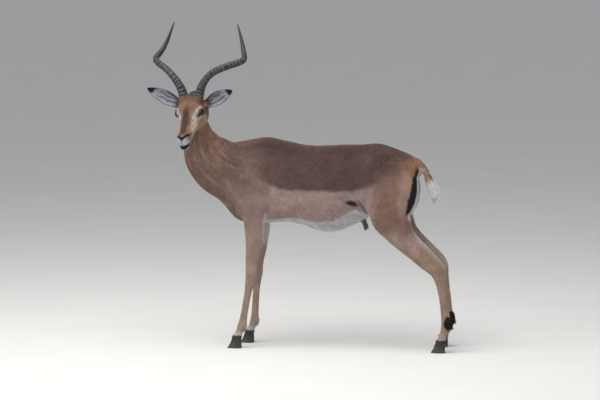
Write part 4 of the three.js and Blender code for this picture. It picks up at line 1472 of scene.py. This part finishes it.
def fur_size(hide, face, base):
    """Length of the fur, shorter towards nose, eyes and feet and longer under belly and chest."""
    p = hide.points[hide.faces[face, 0]]
    scale = np.ones(len(p))
    h = to_head(p)
    nose = smooth(90, 215, h[:, 1]) * (hide.face_part[face] == PARTS.index("head"))
    scale *= 1 - 0.45 * nose
    scale *= 1 - 0.35 * smooth(220, 90, p[:, 2])
    belly = smooth(575, 530, p[:, 2]) * smooth(-420, -300, p[:, 0]) * smooth(300, 220, p[:, 0])
    scale *= 1 + 0.5 * belly * (hide.face_part[face] == 0)
    for s in (-1, 1):
        scale *= 1 - 0.5 * smooth(40, 22, eye_measure(h, s)[0])
    return base * scale


def bare(h):
    """1 where no hair grows: eye openings and lid rims, nostrils and the nose pad."""
    mask = np.zeros(len(h), bool)
    for s in (-1, 1):
        r, ring, front = eye_measure(h, s)
        mask |= (ring < 1.25) & (front > -2) & (r < 30)
        mask |= (nostril(h, s) < 4.2) & (h[:, 2] > -30)
    mask |= (np.abs(h[:, 0]) < 3.2) & (h[:, 1] > 202) & (h[:, 2] > -37) & (h[:, 2] < 0)
    return mask


def short_tufts(hide, names, free, look, rng):
    """Bundles of short tufts over the parts of one piece; a large piece of one part is split."""
    bundles = []
    single = len(names) == 1
    for name in names:
        length, width, lift, room = FUR[name]
        here = face_mask(hide, name) & free
        face, shares = hide.scatter(np.where(here, hide.area / room * look.density, 0), rng)
        n = len(face)
        root, normal, lie, color, uv = hide.roots(face, shares, names)
        size = fur_size(hide, face, length)
        swirl = noise(root, 55, 11) - 0.5
        turn = swirl * 0.5 + rng.normal(0, 0.12, n)
        lie = unit(lie * np.cos(turn)[:, None] + np.cross(normal, lie) * np.sin(turn)[:, None])
        rise = np.radians(lift) * (0.55 + 0.9 * rng.random(n)) * (0.8 + 0.6 * noise(root, 18, 13))
        tone = 1 + 0.13 * rng.normal(0, 1, (n, 1)) + 0.2 * (noise(root, 9, 15) - 0.5)[:, None]
        size = size * (0.75 + 0.5 * rng.random(n))
        width = width * (0.75 + 0.5 * rng.random(n))
        order = np.argsort(root[:, 1] if name == "trunk" else root[:, 0], kind="stable")
        for part in np.array_split(order, max(1, math.ceil(n / MOST_TUFTS)) if single else 1):
            if single or not bundles:
                bundles.append(Bundle())
            facts = [value[part] for value in (root, normal, lie, size, width, rise, color * tone, uv)]
            bundles[-1].add(*tuft_shapes(*facts, rng))
    return bundles


def coat(hide, look, finish):
    """Every coat piece: short tufts over the whole skin, then the longer locks where they grow."""
    rng = np.random.default_rng(look.seed)
    free = ~bare(to_head(hide.points))[hide.faces].any(1)
    free &= hide.points[hide.faces][..., 2].min(1) > CORONET - 2
    for piece, names in COAT_PIECES.items():
        bundles = short_tufts(hide, names, free, look, rng)
        LOCKS[piece](Locks(hide, bundles[0], names, look, rng))
        for number, bundle in enumerate(bundles):
            bundle.build(piece if len(bundles) == 1 else f"{piece}_{number + 1}", finish)


def face_mask(hide, name):
    """1 on the skin's faces that belong to a part."""
    return hide.face_part == PARTS.index(name)


class Locks:
    """Grows the longer locks of one coat piece."""

    def __init__(self, hide, bundle, names, look, rng):
        self.hide, self.bundle, self.names, self.look, self.rng = hide, bundle, names, look, rng
        self.middle = hide.points[hide.faces].mean(1)
        self.down = -hide.normal[hide.faces[:, 0]][:, 2]

    def on(self, name):
        return face_mask(self.hide, name)

    def grow(self, where, room, length, width, out, sag, color=None, rings=3):
        """Locks from the faces where the mask says, standing out by out and sagging by sag of their length.
        """
        rng = self.rng
        face, shares = self.hide.scatter(np.where(where, self.hide.area / room, 0), rng)
        if not len(face):
            return
        root, normal, lie, own, uv = self.hide.roots(face, shares, self.names)
        n = len(face)
        way = unit(lie + normal * out + rng.normal(0, 0.1, (n, 3)))
        droop = np.tile(np.array([0, 0, -sag]), (n, 1)) + rng.normal(0, 0.05, (n, 3))
        tone = 1 + 0.12 * rng.normal(0, 1, (n, 1))
        color = own if color is None else np.tile(np.array(color[:3]), (n, 1))
        length = length * (0.6 + 0.6 * rng.random(n))
        width = width * (0.7 + 0.6 * rng.random(n))
        side = np.cross(normal, lie)
        self.bundle.add(
            *lock_shapes(root, way, droop, side, length, width, np.clip(color * tone, 0, 1), uv, rings)
        )


def head_locks(locks):
    """Hair in the cups and along the rims of the ears, between the horns, on the chin and the lashes."""
    for s, name in ((1, "ear_left"), (-1, "ear_right")):
        t, v, lift, _, _ = ear_measure(locks.middle, s)
        cup = locks.on(name) & (lift > 0) & (t < 0.86)
        locks.grow(cup & (np.abs(v) > 0.45) & (np.abs(v) < 0.9), 11, 13, 0.9, 0.16, 0.02)
        locks.grow(cup & (np.abs(v) < 0.25) & (t < 0.7), 14, 12, 0.9, 0.2, 0.02)
        locks.grow(locks.on(name) & (t < 0.16), 10, 9, 1.1, 0.2, 0.05)
    h = to_head(locks.middle)
    crown = locks.on("head") & (np.hypot(h[:, 0], h[:, 1] + 4) < 20) & (h[:, 2] > -45)
    locks.grow(crown, 8, 11, 1.3, 0.35, 0.0)
    locks.grow(locks.on("head") & (h[:, 1] > 186) & (h[:, 2] < -54), 6, 8, 0.8, 0.3, 0.1)
    for s in (-1, 1):
        lashes(locks, s)


def lashes(locks, s):
    """A fan of fifteen lashes from the upper lid of one eye."""
    centre, outlook, inner, brow = eye_axes(s)
    a = np.linspace(-0.75, 0.8, 15)
    n = len(a)
    root = centre + np.outer(13.0 * a, inner) + np.outer(8.6 * (1 - 0.55 * a * a), brow)
    root = centre + unit(root - centre + outlook * 15.5) * 19.2
    way = unit(outlook * 0.75 + brow * 0.75 + np.outer(a * 0.5, inner)) @ HEAD_AXES
    droop, side = np.tile(UP * -0.12, (n, 1)), np.tile(inner @ HEAD_AXES, (n, 1))
    color = np.tile(np.array(locks.look.black[:3]), (n, 1))
    uv = (
        np.tile([0.5 / len(locks.names), 0.2], (n, 1)) + np.column_stack([a * 0.02, 0 * a])
        + (0.04 if s > 0 else 0)
    )
    shape = lock_shapes(from_head(root), way, droop, side, np.full(n, 9.0), np.full(n, 0.6), color, uv, 3)
    locks.bundle.add(*shape)


def neck_locks(locks):
    """A slightly shaggier throat and a low crest on the nape."""
    here = locks.on("neck")
    locks.grow(here & (locks.down > 0.35), 26, 12, 1.3, 0.05, 0.02)
    nape = here & (np.abs(locks.middle[:, 1] + 10) < 16) & (locks.down < -0.1)
    locks.grow(nape, 22, 15, 1.5, 0.22, 0.02)


def trunk_locks(locks):
    """Longer hair on the brisket and the belly line, and the dark tuft that hangs from the sheath."""
    x, y, z = locks.middle.T
    here = locks.on("trunk")
    locks.grow(here & (locks.down > 0.45) & (x < 240) & (x > -400), 60, 19, 1.7, 0.16, 0.1)
    locks.grow(here & (x > 170) & (x < 206) & (np.abs(y) < 18) & (z < 552), 4, 10, 1.2, 0.15, 0.7, rings=4)


def leg_locks(locks):
    """Black tufts behind the hind fetlocks, fringes at the heels of the forefeet and over all coronets."""
    x, _, z = locks.middle.T
    for name in locks.names:
        limb = legs[name]
        behind = x - np.interp(z, limb.centre[::-1, 2], limb.centre[::-1, 0])
        here = locks.on(name)
        if name.startswith("hind"):
            tuft = here & (np.hypot((z - 134) / 24, (behind - 15) / 17) < 1)
            locks.grow(tuft, 2.2, 17, 1.4, 0.8, 0.12, locks.look.black, 4)
        else:
            locks.grow(here & (behind > 12) & (z > 82) & (z < 112), 8, 13, 1.2, 0.3, 0.1)
        locks.grow(here & (z < CORONET + 7), 3.5, 9, 1.0, 0.25, 0.1, locks.look.dark)


def tail_locks(locks):
    """The brush: long locks from the lower two thirds of the tail and shorter ones at its tip."""
    share = tail_share(locks.middle)
    here = locks.on("tail")
    locks.grow(here & (share > 0.3) & (share < 0.8), 4.2, 30, 1.9, 0.18, 0.08, rings=5)
    locks.grow(here & (share > 0.8), 3.2, 15, 1.5, 0.16, 0.06, rings=4)


LOCKS = {
    "coat_head": head_locks,
    "coat_neck": neck_locks,
    "coat_trunk": trunk_locks,
    "coat_forelegs": leg_locks,
    "coat_hind_left": leg_locks,
    "coat_hind_right": leg_locks,
    "coat_tail": tail_locks,
}


# ------------------------------------------------------------------ grids


def grid_faces(rows, columns, wrap=True):
    """Triangles over a grid of rows and columns, closed round its columns."""
    r = np.arange(rows - 1)[:, None]
    c = np.arange(columns if wrap else columns - 1)[None]
    a = r * columns + c
    b = r * columns + (c + 1) % columns
    quads = np.stack([a, b, b + columns, a + columns], -1).reshape(-1, 4)
    return np.concatenate([quads[:, [0, 1, 2]], quads[:, [0, 2, 3]]])


def closed_grid(grid, start, end):
    """Points and triangles of rings with a point at either end."""
    rows, columns = grid.shape[:2]
    points = np.vstack([grid.reshape(-1, 3), start, end])
    first, last = rows * columns, rows * columns + 1
    c = np.arange(columns)
    d = (c + 1) % columns
    top = (rows - 1) * columns
    caps = [
        np.column_stack([np.full(columns, first), d, c]),
        np.column_stack([np.full(columns, last), top + c, top + d]),
    ]
    faces = np.concatenate([grid_faces(rows, columns), *caps])
    a, b, e = points[faces].transpose(1, 0, 2)
    if np.einsum("ij,ij->", a - start, np.cross(b - start, e - start)) < 0:
        faces = faces[:, ::-1]
    return points, faces


# ------------------------------------------------------------------ eyes, horns, hooves


def make_eye(s):
    """An eyeball: a sphere on its looking axis, with a cornea of 1.1 mm * (1 - (sin / 0.62)^2) before it."""
    centre, outlook, inner, brow = eye_axes(s)
    polar = np.linspace(0, np.pi, 50)[1:-1, None]
    round_it = np.linspace(0, 2 * np.pi, 64, endpoint=False)[None]
    radius = EYE_RADIUS - 0.25 + 1.1 * np.clip(1 - (np.sin(polar) / 0.62) ** 2, 0, 1) * (polar < 1.2)
    radius = radius + 0 * round_it
    local = np.stack(
        [np.sin(polar) * np.cos(round_it), np.sin(polar) * np.sin(round_it), np.cos(polar) + 0 * round_it], -1
    )
    axes = np.array([inner, brow, outlook])
    grid = centre + (local * radius[..., None]) @ axes
    ends = [centre + outlook * (EYE_RADIUS + 0.85), centre - outlook * (EYE_RADIUS - 0.25)]
    points, faces = closed_grid(grid, *ends)
    facts = np.vstack([local.reshape(-1, 3), [0, 0, 1], [0, 0, -1]])
    return from_head(points), faces, facts


def horn_curve(s):
    """The way outwards from one horn, the points along it and their shares of its length."""
    out = np.cross([0, 0, s], AHEAD)
    path = np.array(HORN_PATH, float)
    points = HEAD_AT + path[:, :1] * out - path[:, 1:2] * AHEAD + path[:, 2:] * UP
    many = np.linspace(0, 1, 900)
    curve = spline(points, many)
    length = np.concatenate([[0], np.cumsum(np.linalg.norm(np.diff(curve, axis=0), axis=1))])
    return out, curve, length / length[-1]


def make_horn(s, ridges, ridge_height):
    """A horn: rings of radius r(t) along its curve, raised by rounded saw-shaped ridges, mostly at the
    front.

    Each ridge rises slowly and drops steeply towards the tip, as sharpened |sin|; they fade before the
    smooth end.
    """
    out, curve, share = horn_curve(s)
    rows, around = 420, 40
    t = np.linspace(0.0, 0.985, rows)
    centre = np.stack([np.interp(t, share, curve[:, k]) for k in range(3)], 1)
    tangent = unit(np.gradient(centre, axis=0))
    front = unit(np.cross(out, tangent)) * s
    side = np.cross(tangent, front)
    late = np.clip((t - 0.6) / 0.4, 0, 1)
    taper = HORN_BUTT * (1 - 0.5 * t) * (1 - late**1.6) ** 0.8 + 1.4 * t
    angle = np.linspace(0, 2 * np.pi, around, endpoint=False)
    phase = (t / 0.66) ** 0.85 * ridges + 0.25 * np.sin(t * 37)
    saw = phase - np.floor(phase)
    rise = np.where(saw < 0.68, (saw / 0.68) ** 1.7, ((1 - saw) / 0.32) ** 0.8)
    fade = smooth(0.69, 0.6, t) * smooth(0.0, 0.03, t)
    facing = 0.55 + 0.45 * np.sin(angle)
    bump = (rise * fade * (1 - 0.45 * t))[:, None] * ridge_height * facing
    groove = 0.28 * np.sin(angle * 11 + 3 * np.sin(t * 9)[:, None]) * smooth(0.95, 0.6, t)[:, None]
    taper = taper + HORN_FLARE * smooth(0.26, 0.03, t)
    radius = taper[:, None] - 0.9 * fade[:, None] + bump + groove * smooth(0.0, 0.1, t)[:, None]
    grid = (
        centre[:, None]
        + side[:, None] * (radius * 0.9 * np.cos(angle))[..., None]
        + front[:, None] * (radius * 1.08 * np.sin(angle))[..., None]
    )
    points, faces = closed_grid(grid, centre[0] - tangent[0] * 6, curve[-1])
    facts = np.stack(
        [np.repeat(t, around), np.tile(angle, rows), (rise * fade)[:, None].repeat(around, 1).ravel()], 1
    )
    return points, faces, np.vstack([facts, [0, 0, 0], [1, 0, 0]])


def make_claw(x, y, outward):
    """One claw: level rings from sole to coronet, pointed at the toe, flat inside, slightly hollowed."""
    height = 54.0
    z = np.concatenate([[0.0, 1.2, 3], np.linspace(6, height, 22)])
    up = z / height
    angle = np.linspace(0, 2 * np.pi, 44, endpoint=False)
    length = HOOF_LENGTH * (1 - 0.44 * up) - 2.2 * np.sin(np.pi * up)
    width = HOOF_WIDTH * (1 - 0.14 * up)
    foot = np.where(z < 1, -0.7, 0)
    heel = x + 24 - 4 * up + 1.8 * np.sin(np.pi * up)
    share = (1 + np.cos(angle)) / 2
    rounded = np.abs(np.sin(angle)) ** 0.8 * np.sign(np.sin(angle)) * (1.05 - 0.32 * share)
    side = np.where(np.sin(angle) > 0, width[:, None] + foot[:, None], 1.1) * rounded
    growth = 0.25 * np.sin(z * 1.15)[:, None] * smooth(0, 6, z)[:, None] * (np.sin(angle) > 0)
    rim = 1.4 * smooth(44, 50, z) * smooth(56, 51, z)
    grid = np.stack(
        [
            heel[:, None] - share * (length + foot)[:, None] - (
                growth + rim[:, None] * 0.6
            ) * (2 * share - 1),
            y + outward * (1.3 + side + growth + rim[:, None] * (np.sin(angle) > 0)),
            z[:, None] + 0 * side,
        ],
        -1,
    )
    points, faces = closed_grid(grid, [x - 6, y + outward * 7, 0.0], [x - 2, y + outward * 7, height])
    rings = np.stack([side * 0 + z[:, None], share + 0 * side, side], -1).reshape(-1, 3)
    facts = np.vstack([rings, [0, 0.5, 0], [height, 0.5, 0]])
    return points, faces, facts


# ------------------------------------------------------------------ what a user may change


def shade_property(label, text, value):
    return FloatVectorProperty(
        name=label, description=text, default=value, size=3, subtype="COLOR", min=0, max=1
    )


def length_property(label, text, value, least, most):
    return FloatProperty(name=label, description=text, default=value, min=least, max=most, unit="LENGTH")


class RamCoat(bpy.types.PropertyGroup):
    """Colours and thickness of the coat."""

    seed: IntProperty(name="Seed", description="Start of the random placing of tufts", default=7, min=0)
    density: FloatProperty(
        name="Density", description="How closely tufts stand", default=1.0, min=0.1, max=1.2
    )
    body_step: length_property("Body Mesh", "Mesh size on the body", 0.0059, 0.004, 0.02)
    head_step: length_property("Head Mesh", "Mesh size on the head", 0.0025, 0.0015, 0.01)
    saddle: shade_property("Saddle", "Dark brown of the back", (0.17, 0.103, 0.094))
    shoulder: shade_property("Shoulder", "Greyish brown of the shoulder", (0.275, 0.175, 0.143))
    flank: shade_property("Flank", "Pale tan band under the saddle", (0.49, 0.36, 0.333))
    rump: shade_property("Rump", "Tan of the haunch", (0.305, 0.19, 0.143))
    # reddish tan of the tail's root, also used for painted light along the jaw's edge
    orange: shade_property("Tail Root", "Reddish tan round the tail's root", (0.46, 0.25, 0.14))
    white: shade_property("White", "White of belly, chin, rump and tail", (0.68, 0.67, 0.67))
    pale: shade_property("Pale Face", "Cool white of the lips, chin and round the eyes", (0.46, 0.48, 0.525))
    tail: shade_property("Tail", "White of the tail's brush", (0.86, 0.88, 0.93))
    sheath: shade_property("Sheath", "Greyish brown of the sheath", (0.17, 0.125, 0.105))
    neck: shade_property("Neck", "Reddish brown of the neck", (0.33, 0.19, 0.14))
    face: shade_property("Face", "Tan of the face", (0.3, 0.17, 0.105))
    crown: shade_property("Crown", "Brown between and behind the horns", (0.172, 0.102, 0.073))
    # pale tan of the cheeks, lightened as a painted highlight
    pale_cheek_and_highlight: shade_property("Cheek", "Pale tan of the cheeks", (0.8, 0.65, 0.53))
    streak: shade_property("Nose Bridge", "Dark streak down the face", (0.068, 0.041, 0.038))
    # pale inside of the ears, dimmed and tinted grey-blue as painted skylit shade
    ear: shade_property("Ear Inside", "Pale inside of the ears", (0.53, 0.53, 0.61))
    fore_shank: shade_property("Foreleg", "Tan of the forelegs", (0.44, 0.325, 0.265))
    hind_shank: shade_property("Hind Leg", "Tan of the hind legs", (0.44, 0.315, 0.245))
    dark: shade_property("Dark", "Dark brown of small marks", (0.05, 0.035, 0.03))
    black: shade_property("Black", "Black of stripes and tufts", (0.014, 0.011, 0.011))


class RamDetails(bpy.types.PropertyGroup):
    """Eyes, horns and hooves."""

    iris: shade_property("Iris", "Brown of the eyes", (0.014, 0.007, 0.004))
    horn_deep: shade_property("Horn Hollows", "Dark of the horns' grooves", (0.014, 0.014, 0.016))
    horn_worn: shade_property("Horn Ridges", "Grey of the worn ridges", (0.105, 0.105, 0.113))
    ridges: IntProperty(name="Ridges", description="Ridges on each horn", default=19, min=4, max=32)
    ridge_height: length_property("Ridge Height", "How far the ridges stand out", 0.0026, 0, 0.006)
    hoof_deep: shade_property("Hoof Dark", "Dark horn of the hooves", (0.012, 0.011, 0.012))
    hoof_worn: shade_property("Hoof Worn", "Worn grey of the hooves", (0.09, 0.08, 0.075))


class RamStage(bpy.types.PropertyGroup):
    """Camera, floor and light."""

    azimuth: FloatProperty(
        name="Azimuth", description="Camera's turn towards the tail", default=math.radians(9), subtype="ANGLE"
    )
    elevation: FloatProperty(
        name="Elevation", description="Camera's height angle", default=math.radians(6), subtype="ANGLE"
    )
    distance: FloatProperty(
        name="Distance", description="From camera to ram", default=14, min=2, unit="LENGTH"
    )
    lens: FloatProperty(
        name="Lens", description="Focal length in millimetres", default=196, min=20, unit="CAMERA"
    )
    floor: shade_property("Floor", "Pale floor", (0.78, 0.77, 0.75))
    key: FloatProperty(
        name="Main Light", description="Power of the large soft light above", default=210, min=0, unit="POWER"
    )
    fill: FloatProperty(name="Sky", description="Strength of the even light all round", default=0.45, min=0)


# ------------------------------------------------------------------ operators

FLESH = ["head", "neck", "trunk", "tail", "ear_left", "ear_right"] + [
    f"{leg}_{part}" for leg in legs for part in ("upper", "lower")
]


class RAM_OT_coat(bpy.types.Operator):
    """Make the skin, and the coat of tufts and locks that grows on it"""

    bl_idname = "ram.coat"
    bl_label = "Skin and Coat"

    def execute(self, context):
        look = context.scene.ram_coat
        points, faces = make_skin(look.body_step * 1000, look.head_step * 1000)
        hide = Hide(points, faces, look)
        finish = coat_material("Short Coat", 0.5, 0.55, 1.0)
        stretched = hide.grain * (0.16, 1.1, 1.1)
        skin = mesh_object("skin", to_row(points), faces, finish, hide.color, {"grain": stretched})
        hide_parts(*FLESH)
        coat(hide, look, coat_material("Tufts", 0.25, 0.2, 0.6))
        return {"FINISHED"}


def stand_in(name, node, shape, finish):
    """A finer piece in place of one node of the solids."""
    points, faces, facts = shape
    piece = mesh_object(name, to_row(points), faces, finish, vectors={"local": facts})
    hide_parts(node)


class RAM_OT_eyes(bpy.types.Operator):
    """Make both eyes"""

    bl_idname = "ram.eyes"
    bl_label = "Eyes"

    def execute(self, context):
        finish = eye_material(context.scene.ram_details)
        for s, side in ((-1, "left"), (1, "right")):
            stand_in(f"eyeball_{side}", f"eye_{side}", make_eye(s), finish)
        return {"FINISHED"}


class RAM_OT_horns(bpy.types.Operator):
    """Make both ridged horns"""

    bl_idname = "ram.horns"
    bl_label = "Horns"

    def execute(self, context):
        look = context.scene.ram_details
        wear_by = (0.25, 1.0, 0.1, 0.8)
        finish = keratin_material("Ridged Horn", look.horn_deep, look.horn_worn, (16.0, 9.0, 1.0), 2, wear_by)
        for s, side in ((1, "left"), (-1, "right")):
            shape = make_horn(s, look.ridges, look.ridge_height * 1000)
            stand_in(f"ridged_horn_{side}", f"horn_{side}", shape, finish)
        return {"FINISHED"}


class RAM_OT_hooves(bpy.types.Operator):
    """Make the eight claws"""

    bl_idname = "ram.hooves"
    bl_label = "Hooves"

    def execute(self, context):
        look = context.scene.ram_details
        wear_by = (40.0, 0.0, 0.15, 0.75)
        finish = keratin_material("Hoof", look.hoof_deep, look.hoof_worn, (0.12, 14.0, 0.5), 0, wear_by)
        for foot, (x, y) in FEET.items():
            for outward in (-1, 1):
                which = "outer" if outward * y > 0 else "inner"
                shape = make_claw(x, y, outward)
                stand_in(f"{foot}_hoof_{which}", f"{foot}_claw_{which}", shape, finish)
        return {"FINISHED"}


class RAM_OT_stage(bpy.types.Operator):
    """Set up the floor, the soft light and the camera"""

    bl_idname = "ram.stage"
    bl_label = "Stage"

    def execute(self, context):
        look = context.scene.ram_stage
        set_camera(look)
        set_floor(look)
        set_light(look)
        return {"FINISHED"}


CAMERA_TARGET = np.array([-0.087, 0, 0.634])
FLOOR_REACH, FLOOR_SIDES = 90, 96
LAMPS = (("Overhead", (-0.6, -1.6, 4.2), 4.5, 1.0), ("Side", (-4.5, -3.5, 2.6), 3.0, 0.22))


def link(name, data):
    """A new object that holds the data, put in the scene."""
    made = bpy.data.objects.new(name, data)
    bpy.context.collection.objects.link(made)
    return made


def set_camera(look):
    """The camera, looking at the middle of the ram from its left side."""
    a, e = look.azimuth, look.elevation
    back = np.array([math.sin(a) * math.cos(e), -math.cos(a) * math.cos(e), math.sin(e)])
    lens = bpy.data.cameras.new("View")
    lens.lens = look.lens
    lens.sensor_width = 36
    lens.clip_end = 100
    camera = link("View", lens)
    camera.location = CAMERA_TARGET + SHIFT / 1000 + back * look.distance
    camera.rotation_euler = Vector(back).to_track_quat("Z", "Y").to_euler()
    bpy.context.scene.camera = camera


def set_floor(look):
    """A level floor: rings of radius FLOOR_REACH * share^2, so that they lie closer near the ram."""
    radius = FLOOR_REACH * np.linspace(0, 1, 24)[:, None] ** 2
    angle = np.linspace(0, 2 * np.pi, FLOOR_SIDES, endpoint=False)
    rings = np.stack([radius * np.cos(angle), radius * np.sin(angle), 0 * radius * angle], -1)
    points = np.vstack([rings[1:].reshape(-1, 3), [0, 0, 0]])
    c = np.arange(FLOOR_SIDES)
    middle = np.column_stack([np.full(FLOOR_SIDES, len(points) - 1), c, (c + 1) % FLOOR_SIDES])
    faces = np.concatenate([grid_faces(23, FLOOR_SIDES), middle])
    mesh = bpy.data.meshes.new("floor")
    mesh.from_pydata(points.tolist(), [], faces.tolist())
    made, w, shader = material("Pale Floor")
    cloud = w.spread(w.noise(w.place(), 3.0, 4.0), 0.3, 0.7)
    tint = w.mix(cloud, (*look.floor, 1), (*[c * 0.97 for c in look.floor], 1))
    w.feed(shader, {"Base Color": tint, "Roughness": 0.85, "Specular IOR Level": 0.1})
    mesh.materials.append(made)
    link("floor", mesh)


def set_light(look):
    """A large soft light overhead, a weaker one from ahead and an even sky."""
    for name, where, size, share in LAMPS:
        light = bpy.data.lights.new(name, "AREA")
        light.shape = "DISK"
        light.size = size
        light.energy = look.key * share
        light.color = (1.0, 0.985, 0.965)
        lamp = link(name, light)
        lamp.location = where
        lamp.rotation_euler = (Vector(where) - Vector((0, 0, 0.6))).to_track_quat("Z", "Y").to_euler()
    world = bpy.data.worlds.new("Even Sky")
    world.use_nodes = True
    sky = world.node_tree.nodes["Background"]
    sky.inputs["Color"].default_value = (0.93, 0.965, 1.0, 1)
    sky.inputs["Strength"].default_value = look.fill
    bpy.context.scene.world = world
    bpy.context.scene.view_settings.view_transform = "Standard"


class RAM_PT_panel(bpy.types.Panel):
    """Lists the ram's pieces and their settings"""

    bl_idname = "RAM_PT_panel"
    bl_label = "Impala Ram"
    bl_space_type = "VIEW_3D"
    bl_region_type = "UI"
    bl_category = "Ram"

    def draw(self, context):
        for operator, settings in (
            ("coat", "ram_coat"),
            ("eyes", "ram_details"),
            ("horns", ""),
            ("hooves", ""),
            ("stage", "ram_stage"),
        ):
            self.layout.operator(f"ram.{operator}")
            if settings:
                group_of = getattr(context.scene, settings)
                for key in group_of.bl_rna.properties.keys():
                    if key not in ("rna_type", "name"):
                        self.layout.prop(group_of, key)


CLASSES = (
    RamCoat,
    RamDetails,
    RamStage,
    RAM_OT_coat,
    RAM_OT_eyes,
    RAM_OT_horns,
    RAM_OT_hooves,
    RAM_OT_stage,
    RAM_PT_panel,
)


def register():
    for item in CLASSES:
        bpy.utils.register_class(item)
    bpy.types.Scene.ram_coat = PointerProperty(type=RamCoat)
    bpy.types.Scene.ram_details = PointerProperty(type=RamDetails)
    bpy.types.Scene.ram_stage = PointerProperty(type=RamStage)


def unregister():
    for key in ("ram_coat", "ram_details", "ram_stage"):
        delattr(bpy.types.Scene, key)
    for item in reversed(CLASSES):
        bpy.utils.unregister_class(item)


def main():
    register()
    bpy.ops.ram.stage()
    bpy.ops.ram.coat()
    bpy.ops.ram.eyes()
    bpy.ops.ram.horns()
    bpy.ops.ram.hooves()


if __name__ == "__main__":
    main()
